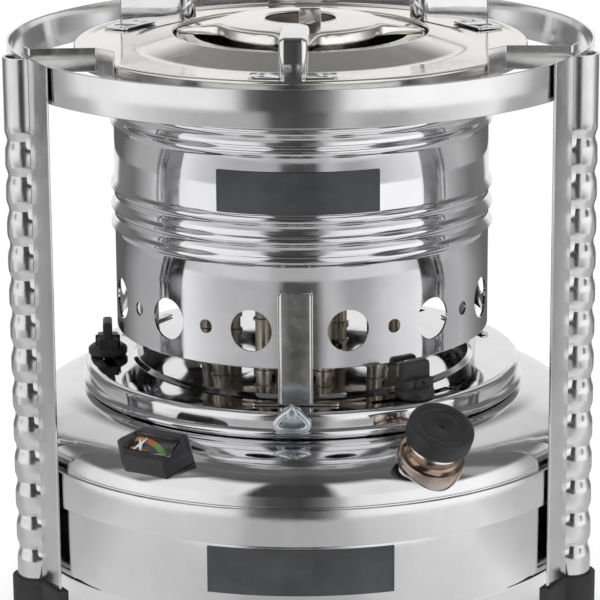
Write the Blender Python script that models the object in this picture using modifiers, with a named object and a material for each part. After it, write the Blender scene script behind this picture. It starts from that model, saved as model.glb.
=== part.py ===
"""Kerosene wick stove with ten wicks: a polished steel tank in a three-legged stand,
a burner drum on the tank and a pan-support plate on top. Metres, +Z up. The origin is on
the floor, in the middle of the outer box."""
import math

import bmesh
import bpy
from mathutils import Matrix, Vector

# Fineness and fits
BIG_STEPS = 40
RING_STEPS = 72
SMALL_STEPS = 16
TINY_STEPS = 8
GAP = 0.0003
OVERRUN = 0.002
MERGE = 0.00001

# The drum's radius sets what stands round it and in it
DRUM_R = 0.0934
STAGE_LEDGE = 0.016
STAGE_R = DRUM_R + STAGE_LEDGE
TANK_SHOULDER = 0.0356

# The top plate's level sets the height of the drum, the upper ring and the legs
ANNULUS_Z = 0.2746

# Stand: two band hoops and three legs
RING_R = STAGE_R + TANK_SHOULDER
BAND_THICK = 0.0013
BAND_HEIGHT = 0.018
RING_OVER_PLATE = 0.0034
UPPER_RING_TOP = ANNULUS_Z + RING_OVER_PLATE
LOWER_RING_TOP = 0.079
LEG_ANGLES = {"left": 210.0, "right": 330.0, "rear": 90.0}
LEG_HANDS = {"left": 1.0, "right": -1.0, "rear": 1.0}
LEG_OVER_RING = 0.001
LEG_TOP = UPPER_RING_TOP + LEG_OVER_RING
LEG_THICK = 0.0014
LEG_FLANGE_EDGE = 0.0152
LEG_RIDGE_R = 0.0096
LEG_RIDGE_OFFSET = 0.0129
DENT_COUNT = 13
DENT_LOWEST = 0.0336
DENT_HEADROOM = 0.0402
DENT_PITCH = (LEG_TOP - DENT_HEADROOM - DENT_LOWEST) / (DENT_COUNT - 1)
DENT_DEPTH = 0.0017
FOOT_HEIGHT = 0.0186
FOOT_FLOOR = 0.004
FOOT_WALL = 0.0026

# Tank
TANK_R = RING_R - BAND_THICK - GAP
TANK_WALL = 0.0009
TANK_BOTTOM = 0.022
TANK_CORNER = 0.006
TANK_SEAM = 0.0795
TANK_FLAT_LEDGE = 0.0044
TANK_FLAT_R = STAGE_R - TANK_FLAT_LEDGE
TANK_TOP_Z = 0.1023

# Burner stage on the tank
STAGE_RISE = 0.0132
STAGE_TOP = TANK_TOP_Z + STAGE_RISE
STAGE_WALL = 0.001
STAGE_CORNER = 0.003
STAGE_BEAD_PROUD = 0.0021
STAGE_BEAD_R = STAGE_R + STAGE_BEAD_PROUD
STAGE_BEAD_H = 0.0026
STAGE_AIR_R = 0.02

# Burner drum
DRUM_WALL = 0.001
LIGHTING_GAP = 0.017
DRUM_BOTTOM = STAGE_TOP + LIGHTING_GAP
DRUM_SPAN = ANNULUS_Z - DRUM_BOTTOM
DRUM_HEM = 0.0012
BEAD_PROUD = 0.0018
BEAD_HALF_SHARE = 0.02393
BEAD_HALF = DRUM_SPAN * BEAD_HALF_SHARE
BEAD_SHARES = (0.37227, 0.44053, 0.51231, 0.74243, 0.80929)
VENT_LIFT = 0.0184
VENT_BIG_R = 0.0102
VENT_SMALL_R = 0.0034
VENT_COUNT = 12
VENT_PITCH_DEG = 28.9
DRUM_TURN_DEG = -0.8

# Straps that hold the drum over the stage
STRAP_TURN_DEG = -2.0
STRAP_WIDTH = 0.0166
STRAP_SHEET = 0.001
STRAP_LIP = 0.0032
STRAP_TOP_SHARE = 0.2639
STRAP_TOP = DRUM_BOTTOM + DRUM_SPAN * STRAP_TOP_SHARE
STRAP_FOOT = 0.0125

# Ring pull on a pin at the front of the stage
PULL_TURN_DEG = -2.6
PIN_RISE = 0.0011
PIN_Z = STAGE_TOP + PIN_RISE
PIN_R = 0.0016
PIN_LENGTH = 0.0052
PIN_HEAD_R = 0.0026
PIN_HEAD_H = 0.0011
LUG_WIDTH = 0.009
LUG_THICK = 0.0012
LUG_DROP = 0.008
LUG_LOW = STAGE_TOP - LUG_DROP
LUG_RISE = 0.0037
LUG_TOP = STAGE_TOP + LUG_RISE
PULL_WIRE_R = 0.00155
PULL_HALF_WIDTH = 0.0086
PULL_DROP = 0.0122

# Flame sleeves inside the drum
SLEEVE_WALL = 0.001
HOT_AIR_SPACE = 0.0319
OUTER_SLEEVE_R = DRUM_R - HOT_AIR_SPACE
OUTER_LIP_WIDTH = 0.0085
OUTER_LIP_R = OUTER_SLEEVE_R - OUTER_LIP_WIDTH
FLAME_SPACE = 0.0245
INNER_SLEEVE_R = OUTER_SLEEVE_R - FLAME_SPACE

# Wick tubes, wicks and the gallery that carries the flame sleeves
WICK_COUNT = 10
WICK_STANDOFF = 0.011
WICK_RING_R = INNER_SLEEVE_R + WICK_STANDOFF
WICK_R = 0.0029
GALLERY_RISE = 0.0305
GALLERY_Z = DRUM_BOTTOM + GALLERY_RISE
GALLERY_THICK = 0.0012
GALLERY_IN_LEDGE = 0.004
GALLERY_IN_R = INNER_SLEEVE_R - GALLERY_IN_LEDGE
GALLERY_OUT_LEDGE = 0.0025
GALLERY_OUT_R = OUTER_SLEEVE_R + GALLERY_OUT_LEDGE
TUBE_R = 0.004
TUBE_BORE_R = 0.0033
TUBE_RISE = 0.012
TUBE_TOP = GALLERY_Z + TUBE_RISE
TUBE_DROP = 0.0053
TUBE_BOTTOM = TANK_TOP_Z - TUBE_DROP
WICK_RISE = 0.003
WICK_TOP = TUBE_TOP + WICK_RISE
WICK_BOTTOM = 0.03
WICK_TURN_DEG = -23.5

# Air holes in the flame sleeves
SLEEVE_VENT_R = 0.003
SLEEVE_VENTS = 10
SLEEVE_ROWS = 2
SLEEVE_ROW_SHARE = 0.36
SLEEVE_ROW_LOW = DRUM_BOTTOM + DRUM_SPAN * SLEEVE_ROW_SHARE
SLEEVE_PITCH_SHARE = 0.31668
SLEEVE_ROW_PITCH = DRUM_SPAN * SLEEVE_PITCH_SHARE

# Top plate
PLATE_LEDGE = 0.0186
PLATE_R = DRUM_R + PLATE_LEDGE
PLATE_THICK = 0.001
PLATE_RIM_RISE = 0.001
PLATE_RIM_Z = ANNULUS_Z + PLATE_RIM_RISE
PLATE_SKIRT_DROP = 0.0066
PLATE_SKIRT_LOW = ANNULUS_Z - PLATE_SKIRT_DROP
PLATE_BEAD = 0.0025
CONE_FOOT_INSET = 0.0274
CONE_FOOT_R = PLATE_R - CONE_FOOT_INSET
OPENING_EASE = 0.0013
OPENING_R = OUTER_SLEEVE_R + OPENING_EASE
CONE_RISE = 0.006
OPENING_Z = ANNULUS_Z + CONE_RISE
SLEEVE_TOP_DROP = 0.0016
OUTER_SLEEVE_TOP = OPENING_Z - SLEEVE_TOP_DROP
COLLAR_DEPTH = 0.0034

# Pan supports
TOP_TURN_DEG = -2.0
SUPPORT_FIRST_DEG = 30.0
SUPPORT_PITCH_DEG = 120.0
SUPPORT_SETBACK = 0.0008
SUPPORT_IN_R = OPENING_R + SUPPORT_SETBACK
SUPPORT_INSET = 0.0065
SUPPORT_OUT_R = PLATE_R - SUPPORT_INSET
SUPPORT_RISE = 0.0138
SUPPORT_TOP = OPENING_Z + SUPPORT_RISE
SUPPORT_WIDTH = 0.0135
SUPPORT_SHEET = 0.001
SUPPORT_ROUND = 0.006
SUPPORT_CORNER = 0.0028
TAB_REACH = 0.014
TAB_INSET = 0.0006
TAB_OUT_R = SUPPORT_OUT_R - TAB_INSET
TAB_LENGTH = 0.014

# Brackets between the upper ring and the top plate
BRACKET_THICK = 0.0012
BRACKET_OVER_RING = 0.0045
BRACKET_TOP = UPPER_RING_TOP + BRACKET_OVER_RING
BRACKET_HEIGHT = 0.0115
BRACKET_LOW = BRACKET_TOP - BRACKET_HEIGHT
BRACKET_HIDE = 3.6
BRACKET_OUT_DEG = -4.6
BRACKET_BEND_DEG = 1.6
BRACKET_END_DEG = 8.6

# Flame spreader
SPREADER_LIP = 0.0035
SPREADER_R = INNER_SLEEVE_R + SPREADER_LIP
SPREADER_EASE = 0.0016
SPREADER_TIP_R = OPENING_R - SPREADER_EASE
SPREADER_TIP_DEG = 9.5
SPREADER_RISE = 0.0064
SPREADER_CROWN_Z = OPENING_Z + SPREADER_RISE
SPREADER_CROWN_DROP = 0.0021
SPREADER_BEND_Z = SPREADER_CROWN_Z - SPREADER_CROWN_DROP
SPREADER_TIP_DROP = 0.0062
SPREADER_TIP_Z = SPREADER_CROWN_Z - SPREADER_TIP_DROP
SPREADER_SKIRT_DROP = 0.0076
SPREADER_SKIRT_Z = SPREADER_CROWN_Z - SPREADER_SKIRT_DROP
SPREADER_SKIRT_OUT = 0.0008
SPREADER_THICK = 0.0009
SPREADER_BAND = 0.023
SPREADER_HOLE_R = SPREADER_R - SPREADER_BAND
SPREADER_TAB_W = 0.0108
SPREADER_TAB_DROP = 0.0002
SPREADER_TAB_TOP = SUPPORT_TOP - SPREADER_TAB_DROP
SPREADER_TAB_SIDE = 0.0047
SPREADER_TAB_INSET = 0.0017
SPREADER_TAB_PLACE = (SPREADER_TAB_SIDE, -SPREADER_HOLE_R - SPREADER_TAB_INSET)

# Wick regulator: a ring with ramps that turns under the stage
KNOB_STANDOFF = 0.0051
KNOB_R = DRUM_R + KNOB_STANDOFF
CONTROL_INNER_WIDTH = 0.0125
CONTROL_OUTER_WIDTH = 0.0055
CONTROL_IN_R = KNOB_R - CONTROL_INNER_WIDTH
CONTROL_OUT_R = KNOB_R + CONTROL_OUTER_WIDTH
CONTROL_THICK = 0.0012
REGULATOR_DEG = 12.0
LIFT_TRAVEL = 0.003
RAMP_WIDTH = 0.0048
RAMP_IN_R = CONTROL_IN_R - RAMP_WIDTH
RAMP_MARGIN_DEG = 3.0
RAMP_STEPS = 6
KNOB_ANGLES = (183.0, 303.0, 63.0)
KNOB_WIDTH = 0.018
KNOB_THICK = 0.0055
KNOB_HEIGHT = 0.0178
KNOB_SHOULDER = 0.0115
KNOB_HUB_R = 0.0045
KNOB_HUB_LENGTH = 0.0192
KNOB_HUB_Z = 0.0052
KNOB_STEM_R = 0.002
SLOT_HALF = 0.0026

# Wick carrier inside the tank
CARRIER_DROP = 0.0163
CARRIER_Z = TANK_TOP_Z - CARRIER_DROP
CARRIER_THICK = 0.0012
CARRIER_HALF_WIDTH = 0.007
CARRIER_IN_R = WICK_RING_R - CARRIER_HALF_WIDTH
CARRIER_OUT_R = WICK_RING_R + CARRIER_HALF_WIDTH
ROD_ANGLES = (4.0, 124.0, 244.0)
ROD_INSET = 0.008
ROD_RING_R = CONTROL_IN_R - ROD_INSET
ROD_R = 0.0018
ROD_BORE_R = 0.0023
LIFT_PIN_R = 0.001
LIFT_PIN_DROP = 0.006
LIFT_PIN_LEVEL = STAGE_TOP - LIFT_PIN_DROP
ARM_HALF = 0.003

# Fuel filler
FILLER_DEG = 297.0
FILLER_INSET = 0.0127
FILLER_RING_R = RING_R - FILLER_INSET
FILLER_TILT_DEG = 30.6
NECK_R = 0.0125
NECK_BORE_R = 0.0108
NECK_TOP = 0.0168
THREAD_R = 0.0133
THREAD_PITCH = 0.0025
THREAD_TURNS = 3
COLLAR_R = 0.0162
COLLAR_TOP = 0.0032
CAP_R = 0.016
CAP_LOW = 0.0135
CAP_TOP = 0.0228
CAP_BORE_R = 0.014
CAP_ROOF = 0.0188
GASKET_THICK = 0.0014
GASKET_IN_R = 0.009
GASKET_OUT_R = 0.0136

# Fuel gauge
GAUGE_DEG = 238.0
GAUGE_INSET = 0.014
GAUGE_RING_R = RING_R - GAUGE_INSET
GAUGE_TILT_DEG = 28.3
GAUGE_HALF_LONG = 0.0215
GAUGE_HALF_SHORT = 0.0118
GAUGE_FLAT_SHARE = 0.56
GAUGE_HEIGHT = 0.007
GAUGE_FACET = 0.003
WINDOW_LONG = 0.0265
WINDOW_SHORT = 0.0125
WINDOW_THICK = 0.001
POCKET_DEPTH = 0.0046
DIAL_THICK = 0.0008
POINTER_X = -0.008
POINTER_LONG = 0.0062
POINTER_WIDE = 0.0018
POINTER_THICK = 0.0008
SHAFT_R = 0.0011
SHAFT_REACH = 0.02
ARM_R = 0.001
ARM_REACH = 0.045
ARM_LOW_DEG = -10.0
FLOAT_R = 0.0085
FLOAT_LENGTH = 0.016
GAUGE_HOLE_R = 0.0018

# Plain plates where the stove carries its name plates
PLATE_SHEET = 0.0004
DRUM_PLATE_LOW_SHARE = 0.53483
DRUM_PLATE_LOW = DRUM_BOTTOM + DRUM_SPAN * DRUM_PLATE_LOW_SHARE
DRUM_PLATE_TOP_SHARE = 0.67558
DRUM_PLATE_TOP = DRUM_BOTTOM + DRUM_SPAN * DRUM_PLATE_TOP_SHARE
DRUM_PLATE_DEG = (244.6, 293.2)
TANK_PLATE_LOW = 0.0365
TANK_PLATE_TOP = 0.0592
TANK_PLATE_DEG = (251.6, 287.2)
PLATE_ARC_STEPS = 12

FOOT_REACH = RING_R + GAP + LEG_RIDGE_R + FOOT_WALL
AXIS_Y = (RING_R - FOOT_REACH) / 2

FRONT_DEG = 270.0
FULL_TURN = 360.0


def clear_scene():
    for item in list(bpy.data.objects):
        bpy.data.objects.remove(item, do_unlink=True)


def new_collection(name):
    made = bpy.data.collections.new(name)
    bpy.context.scene.collection.children.link(made)
    return made


def material(name, color, roughness, metallic):
    made = bpy.data.materials.new(name)
    made.use_nodes = True
    shader = made.node_tree.nodes["Principled BSDF"]
    shader.inputs["Base Color"].default_value = (*color, 1.0)
    shader.inputs["Roughness"].default_value = roughness
    shader.inputs["Metallic"].default_value = metallic
    made.diffuse_color = (*color, 1.0)
    return made


clear_scene()
PARTS = new_collection("kerosene_wick_stove")
CUTTERS = new_collection("cutters")

STEEL = material("polished_steel", (0.83, 0.83, 0.82), 0.12, 1.0)
CREAM = material("plate_steel", (0.88, 0.86, 0.8), 0.16, 1.0)
ZINC = material("blue_zinc", (0.7, 0.74, 0.78), 0.3, 1.0)
BRASS = material("dull_tube", (0.62, 0.56, 0.46), 0.35, 1.0)
BLACK = material("black_plastic", (0.03, 0.03, 0.032), 0.38, 0.0)
RUBBER = material("black_rubber", (0.04, 0.04, 0.042), 0.7, 0.0)
COTTON = material("cotton_wick", (0.82, 0.78, 0.68), 0.95, 0.0)
CLEAR = material("clear_window", (0.75, 0.8, 0.8), 0.05, 0.0)
DIAL = material("gauge_scale", (0.2, 0.42, 0.16), 0.5, 0.0)
WHITE = material("white_pointer", (0.9, 0.9, 0.88), 0.45, 0.0)
FLOAT = material("float_foam", (0.6, 0.42, 0.25), 0.8, 0.0)


def empty(name, place, turn=None, parent=None):
    made = bpy.data.objects.new(name, None)
    PARTS.objects.link(made)
    made.parent = parent
    made.location = place
    if turn is not None:
        made.rotation_mode = "QUATERNION"
        made.rotation_quaternion = turn.to_quaternion()
    return made


def polar(radius, degrees, height=0.0):
    angle = math.radians(degrees)
    return Vector((radius * math.cos(angle), radius * math.sin(angle), height))


def leaning_frame(degrees, tilt_degrees):
    """Axes of a fitting on the tank's shoulder: x along the rim, z out of the surface."""
    outward = polar(1.0, degrees)
    up = Vector((0.0, 0.0, 1.0))
    tilt = math.radians(tilt_degrees)
    normal = outward * math.sin(tilt) + up * math.cos(tilt)
    along = up.cross(outward)
    slope = normal.cross(along)
    return Matrix((along, slope, normal)).transposed()


AXIS = empty("stove_axis", (0.0, AXIS_Y, 0.0))


def dome_height(radius, extra=0.0):
    """Height of the tank's top at a radius; it falls off as a quarter ellipse."""
    if radius <= TANK_FLAT_R:
        return TANK_TOP_Z + extra
    across = (radius - TANK_FLAT_R) / (TANK_R - TANK_FLAT_R + extra)
    fall = math.sqrt(max(0.0, 1.0 - across ** 2))
    return TANK_SEAM + GAP + (TANK_TOP_Z - TANK_SEAM - GAP + extra) * fall


FILLER_SEAT = empty(
    "filler_seat",
    polar(FILLER_RING_R, FILLER_DEG, dome_height(FILLER_RING_R)),
    leaning_frame(FILLER_DEG, FILLER_TILT_DEG),
    AXIS,
)
GAUGE_SEAT = empty(
    "gauge_seat",
    polar(GAUGE_RING_R, GAUGE_DEG, dome_height(GAUGE_RING_R)),
    leaning_frame(GAUGE_DEG, GAUGE_TILT_DEG),
    AXIS,
)


def add(name, mesh, finish=None, parent=None, place=(0.0, 0.0, 0.0), turn_degrees=0.0):
    """Put a mesh in the stove, or among the cutters when it has no finish."""
    made = bpy.data.objects.new(name, mesh)
    if finish is None:
        CUTTERS.objects.link(made)
        made.hide_render = True
        made.display_type = "WIRE"
    else:
        PARTS.objects.link(made)
        mesh.materials.append(finish)
        mesh.shade_smooth()
        mesh.set_sharp_from_angle(angle=math.radians(38.0))
    made.parent = AXIS if parent is None else parent
    made.location = place
    made.rotation_euler.z = math.radians(turn_degrees)
    return made


def mesh_from(work, name):
    bmesh.ops.recalc_face_normals(work, faces=work.faces)
    mesh = bpy.data.meshes.new(name)
    work.to_mesh(mesh)
    work.free()
    return mesh


def turned(name, outline, finish=None, parent=None, steps=BIG_STEPS, closed=True):
    """Turn an outline of (radius, height) points about Z; it runs down its outer side."""
    mesh = bpy.data.meshes.new(name)
    points = [(radius, 0.0, height) for radius, height in outline]
    edges = [(i, i + 1) for i in range(len(points) - 1)]
    if closed:
        edges.append((len(points) - 1, 0))
    mesh.from_pydata(points, edges, [])
    made = add(name, mesh, finish, parent)
    screw = made.modifiers.new("turn", "SCREW")
    screw.axis = "Z"
    screw.steps = steps
    screw.render_steps = steps
    screw.use_merge_vertices = True
    screw.merge_threshold = MERGE
    screw.use_smooth_shade = True
    return made


def plate(name, outline, low, thick, finish=None, parent=None, place=(0.0, 0.0, 0.0), turn_degrees=0.0):
    """A flat outline in XY, raised from low by its thickness."""
    curve = bpy.data.curves.new(name, "CURVE")
    curve.dimensions = "2D"
    curve.fill_mode = "BOTH"
    curve.extrude = thick / 2
    spline = curve.splines.new("POLY")
    spline.points.add(len(outline) - 1)
    for point, (x, y) in zip(spline.points, outline):
        point.co = (x, y, 0.0, 1.0)
    spline.use_cyclic_u = True
    drawn = bpy.data.objects.new(name + "_outline", curve)
    PARTS.objects.link(drawn)
    mesh = solid_mesh(drawn, name)
    mesh.transform(Matrix.Translation((0.0, 0.0, low + thick / 2)))
    return add(name, mesh, finish, parent, place, turn_degrees)


def solid_mesh(drawn, name):
    """The welded mesh of a curve object, which is removed."""
    bpy.context.view_layer.update()
    graph = bpy.context.evaluated_depsgraph_get()
    mesh = bpy.data.meshes.new_from_object(drawn.evaluated_get(graph))
    bpy.data.objects.remove(drawn, do_unlink=True)
    mesh.name = name
    work = bmesh.new()
    work.from_mesh(mesh)
    bmesh.ops.remove_doubles(work, verts=work.verts, dist=MERGE)
    bmesh.ops.recalc_face_normals(work, faces=work.faces)
    work.to_mesh(mesh)
    work.free()
    return mesh


def wire(name, points, radius, finish=None, parent=None, cyclic=False, sides=2):
    """A round wire through the points."""
    curve = bpy.data.curves.new(name, "CURVE")
    curve.dimensions = "3D"
    curve.bevel_depth = radius
    curve.bevel_resolution = sides
    curve.use_fill_caps = not cyclic
    spline = curve.splines.new("POLY")
    spline.points.add(len(points) - 1)
    for point, spot in zip(spline.points, points):
        point.co = (*spot, 1.0)
    spline.use_cyclic_u = cyclic
    drawn = bpy.data.objects.new(name + "_path", curve)
    PARTS.objects.link(drawn)
    return add(name, solid_mesh(drawn, name), finish, parent)


def rod_between(work, start, end, radius, steps=TINY_STEPS, end_radius=None):
    """Add a closed cylinder or cone to a bmesh, from one point to another."""
    start = Vector(start)
    end = Vector(end)
    span = end - start
    turn = span.to_track_quat("Z", "Y").to_matrix().to_4x4()
    frame = Matrix.Translation((start + end) / 2) @ turn
    tip = radius if end_radius is None else end_radius
    bmesh.ops.create_cone(
        work, cap_ends=True, segments=steps, radius1=radius, radius2=tip, depth=span.length, matrix=frame
    )


def rods(name, spans, radius, finish=None, parent=None, steps=TINY_STEPS):
    """One object with a cylinder for each (start, end) pair."""
    work = bmesh.new()
    for start, end in spans:
        rod_between(work, start, end, radius, steps)
    return add(name, mesh_from(work, name), finish, parent)


def box(name, size, centre, finish=None, parent=None, place=(0.0, 0.0, 0.0), turn_degrees=0.0):
    work = bmesh.new()
    frame = Matrix.Translation(centre) @ Matrix.Diagonal((*size, 1.0))
    bmesh.ops.create_cube(work, size=1.0, matrix=frame)
    return add(name, mesh_from(work, name), finish, parent, place, turn_degrees)


def boolean(piece, tool, operation):
    step = piece.modifiers.new(operation.lower(), "BOOLEAN")
    step.operation = operation
    step.solver = "EXACT"
    step.object = tool
    return piece


def cut(piece, tool):
    return boolean(piece, tool, "DIFFERENCE")


def unite(piece, tool):
    return boolean(piece, tool, "UNION")


def arc(centre, radius, start_degrees, end_degrees, steps):
    """Points on an arc in a plane, both ends included."""
    spots = []
    for step in range(steps + 1):
        angle = math.radians(start_degrees + (end_degrees - start_degrees) * step / steps)
        spots.append((centre[0] + radius * math.cos(angle), centre[1] + radius * math.sin(angle)))
    return spots


def make_rings():
    for name, top in (("upper_ring", UPPER_RING_TOP), ("lower_ring", LOWER_RING_TOP)):
        inner = RING_R - BAND_THICK
        low = top - BAND_HEIGHT
        turned(name, [(RING_R, top), (RING_R, low), (inner, low), (inner, top)], STEEL, steps=RING_STEPS)


def leg_section(ridge_r):
    """The leg's sheet seen from above: a flat flange, then a half-round ridge."""
    centre = (-LEG_RIDGE_OFFSET, 0.0)
    edge = (LEG_FLANGE_EDGE, 0.0)
    lean = math.degrees(math.asin(LEG_THICK / LEG_RIDGE_R))
    outer = arc(centre, ridge_r, lean, 90.0, 3)[:-1] + arc(centre, ridge_r, 90.0, 180.0, 3)
    root = (centre[0] + LEG_RIDGE_R * math.cos(math.radians(lean)), LEG_THICK)
    outer[0] = root
    outer[-1] = (centre[0] - LEG_RIDGE_R, 0.0)
    inner = arc(centre, ridge_r - LEG_THICK, 180.0, 0.0, 4)
    inner[0] = (centre[0] - LEG_RIDGE_R + LEG_THICK, 0.0)
    inner[-1] = (centre[0] + LEG_RIDGE_R - LEG_THICK, 0.0)
    return [edge, (edge[0], LEG_THICK), *outer, *inner]


def leg_hull(margin):
    """The outline of a leg's end with a margin round it, for its rubber foot."""
    centre = (-LEG_RIDGE_OFFSET, 0.0)
    reach = LEG_RIDGE_R + margin
    lean = math.degrees(math.asin((LEG_THICK + margin) / reach))
    ridge = arc(centre, reach, lean, 90.0, 3)[:-1] + arc(centre, reach, 90.0, 180.0, 3)
    low_left = (centre[0] - reach, -margin)
    low_right = (LEG_FLANGE_EDGE + margin, -margin)
    return [low_right, (LEG_FLANGE_EDGE + margin, LEG_THICK + margin), *ridge, low_left]


def leg_frame(side):
    """Local x along the ring towards the front, local y outwards, for one leg."""
    outward = polar(1.0, LEG_ANGLES[side])
    along = Vector((-outward.y, outward.x, 0.0)) * LEG_HANDS[side]
    frame = Matrix((along, outward, Vector((0.0, 0.0, 1.0)))).transposed().to_4x4()
    frame.translation = outward * (RING_R + GAP)
    return frame


def leg_levels():
    """Heights of the leg's sections, each with its ridge radius."""
    levels = [(FOOT_FLOOR + GAP, LEG_RIDGE_R)]
    for dent in range(DENT_COUNT):
        middle = DENT_LOWEST + DENT_PITCH * dent
        levels.append((middle, LEG_RIDGE_R - DENT_DEPTH))
        levels.append((middle + DENT_PITCH / 2, LEG_RIDGE_R))
    levels.append((LEG_TOP, LEG_RIDGE_R))
    return levels


def make_leg(side):
    work = bmesh.new()
    rings = []
    for height, ridge_r in leg_levels():
        rings.append([work.verts.new((x, y, height)) for x, y in leg_section(ridge_r)])
    for lower, upper in zip(rings, rings[1:]):
        count = len(lower)
        for i in range(count):
            j = (i + 1) % count
            work.faces.new((lower[i], lower[j], upper[j], upper[i]))
    work.faces.new(rings[0])
    work.faces.new(rings[-1])
    bmesh.ops.transform(work, matrix=leg_frame(side), verts=work.verts)
    add("leg_" + side, mesh_from(work, "leg_" + side), STEEL)


def make_foot(side):
    frame = leg_frame(side)
    foot = plate("foot_" + side, leg_hull(FOOT_WALL), 0.0, FOOT_HEIGHT, RUBBER)
    pocket_height = FOOT_HEIGHT - FOOT_FLOOR + OVERRUN
    pocket = plate("foot_pocket_" + side, leg_hull(GAP), FOOT_FLOOR, pocket_height)
    for piece in (foot, pocket):
        piece.data.transform(frame)
        if LEG_HANDS[side] > 0:
            piece.data.flip_normals()
    cut(foot, pocket)


def make_stand():
    make_rings()
    for side in LEG_ANGLES:
        make_leg(side)
        make_foot(side)
        make_bracket(side)


def make_bracket(side):
    """A strip on edge from the upper ring to the top plate's skirt, with a welded end tab."""
    middle = LEG_ANGLES[side]
    hand = LEG_HANDS[side]
    half = BRACKET_THICK / 2
    ring_line = (RING_R - BAND_THICK) * math.cos(math.pi / RING_STEPS) - GAP - half
    skirt_line = PLATE_R + GAP + half
    bend_line = skirt_line + BRACKET_THICK
    path = [
        polar(ring_line, middle + hand * (BRACKET_OUT_DEG - BRACKET_HIDE)),
        polar(ring_line, middle + hand * BRACKET_OUT_DEG),
        polar(bend_line, middle + hand * BRACKET_BEND_DEG),
        polar(skirt_line, middle + hand * BRACKET_END_DEG),
    ]
    left = []
    right = []
    for i, spot in enumerate(path):
        before = path[max(i - 1, 0)]
        after = path[min(i + 1, len(path) - 1)]
        into = (spot - before).normalized() if i else (after - spot).normalized()
        out = (after - spot).normalized() if i < len(path) - 1 else into
        normal_in = Vector((-into.y, into.x, 0.0))
        normal_out = Vector((-out.y, out.x, 0.0))
        miter = (normal_in + normal_out).normalized()
        reach = half / max(miter.dot(normal_in), 0.5)
        left.append((spot + miter * reach).to_2d())
        right.append((spot - miter * reach).to_2d())
    outline = [tuple(spot) for spot in left + right[::-1]]
    plate("bracket_" + side, outline, BRACKET_LOW, BRACKET_TOP - BRACKET_LOW, STEEL)


def dome_outline(extra, steps=6):
    """Points of the tank's top from its flat to its edge, raised by extra."""
    spots = []
    for x, y in arc((0.0, 0.0), 1.0, 90.0, 0.0, steps):
        radius = TANK_FLAT_R + (TANK_R - TANK_FLAT_R + extra) * x
        height = TANK_SEAM + GAP + (TANK_TOP_Z - TANK_SEAM - GAP + extra) * y
        spots.append((radius, height))
    return spots


def make_tank():
    floor = TANK_BOTTOM + TANK_WALL
    inner = TANK_R - TANK_WALL
    corner = (TANK_R - TANK_CORNER, TANK_BOTTOM + TANK_CORNER)
    outer_arc = arc(corner, TANK_CORNER, 0.0, -90.0, 3)
    inner_arc = arc(corner, TANK_CORNER - TANK_WALL, -90.0, 0.0, 3)
    body = [(0.0, floor), *inner_arc, (inner, TANK_SEAM), (TANK_R, TANK_SEAM), *outer_arc, (0.0, TANK_BOTTOM)]
    turned("tank_body", body, STEEL, closed=False)
    outer = dome_outline(0.0)
    under = dome_outline(-TANK_WALL)[::-1]
    under[0] = (inner, TANK_SEAM + GAP)
    crown = [(0.0, TANK_TOP_Z), *outer, *under, (0.0, TANK_TOP_Z - TANK_WALL)]
    top = turned("tank_top", crown, STEEL, closed=False)
    tube_holes = [
        (wick_spot(i, TANK_TOP_Z - OVERRUN), wick_spot(i, TANK_TOP_Z + OVERRUN)) for i in range(WICK_COUNT)
    ]
    cut(top, rods("tank_tube_holes", tube_holes, TUBE_R + GAP))
    rod_holes = [
        (polar(ROD_RING_R, angle, TANK_TOP_Z - OVERRUN), polar(ROD_RING_R, angle, TANK_TOP_Z + OVERRUN))
        for angle in ROD_ANGLES
    ]
    cut(top, rods("tank_rod_holes", rod_holes, ROD_BORE_R))
    through = ((0.0, 0.0, -TANK_CORNER), (0.0, 0.0, TANK_CORNER))
    cut(top, rods("filler_hole", [through], NECK_BORE_R, None, FILLER_SEAT, SMALL_STEPS))
    shaft = ((POINTER_X, 0.0, -TANK_CORNER), (POINTER_X, 0.0, TANK_CORNER))
    cut(top, rods("gauge_hole", [shaft], GAUGE_HOLE_R, None, GAUGE_SEAT))


def wick_spot(number, height):
    return polar(WICK_RING_R, WICK_TURN_DEG + FRONT_DEG + FULL_TURN * number / WICK_COUNT, height)


def make_dome_cutter():
    """The space that the tank fills, with the usual gap; fittings are shaped by it."""
    outline = [(0.0, TANK_TOP_Z + GAP), *dome_outline(GAP), (TANK_R + GAP, TANK_BOTTOM), (0.0, TANK_BOTTOM)]
    return turned("tank_space", outline, closed=False)


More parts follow.
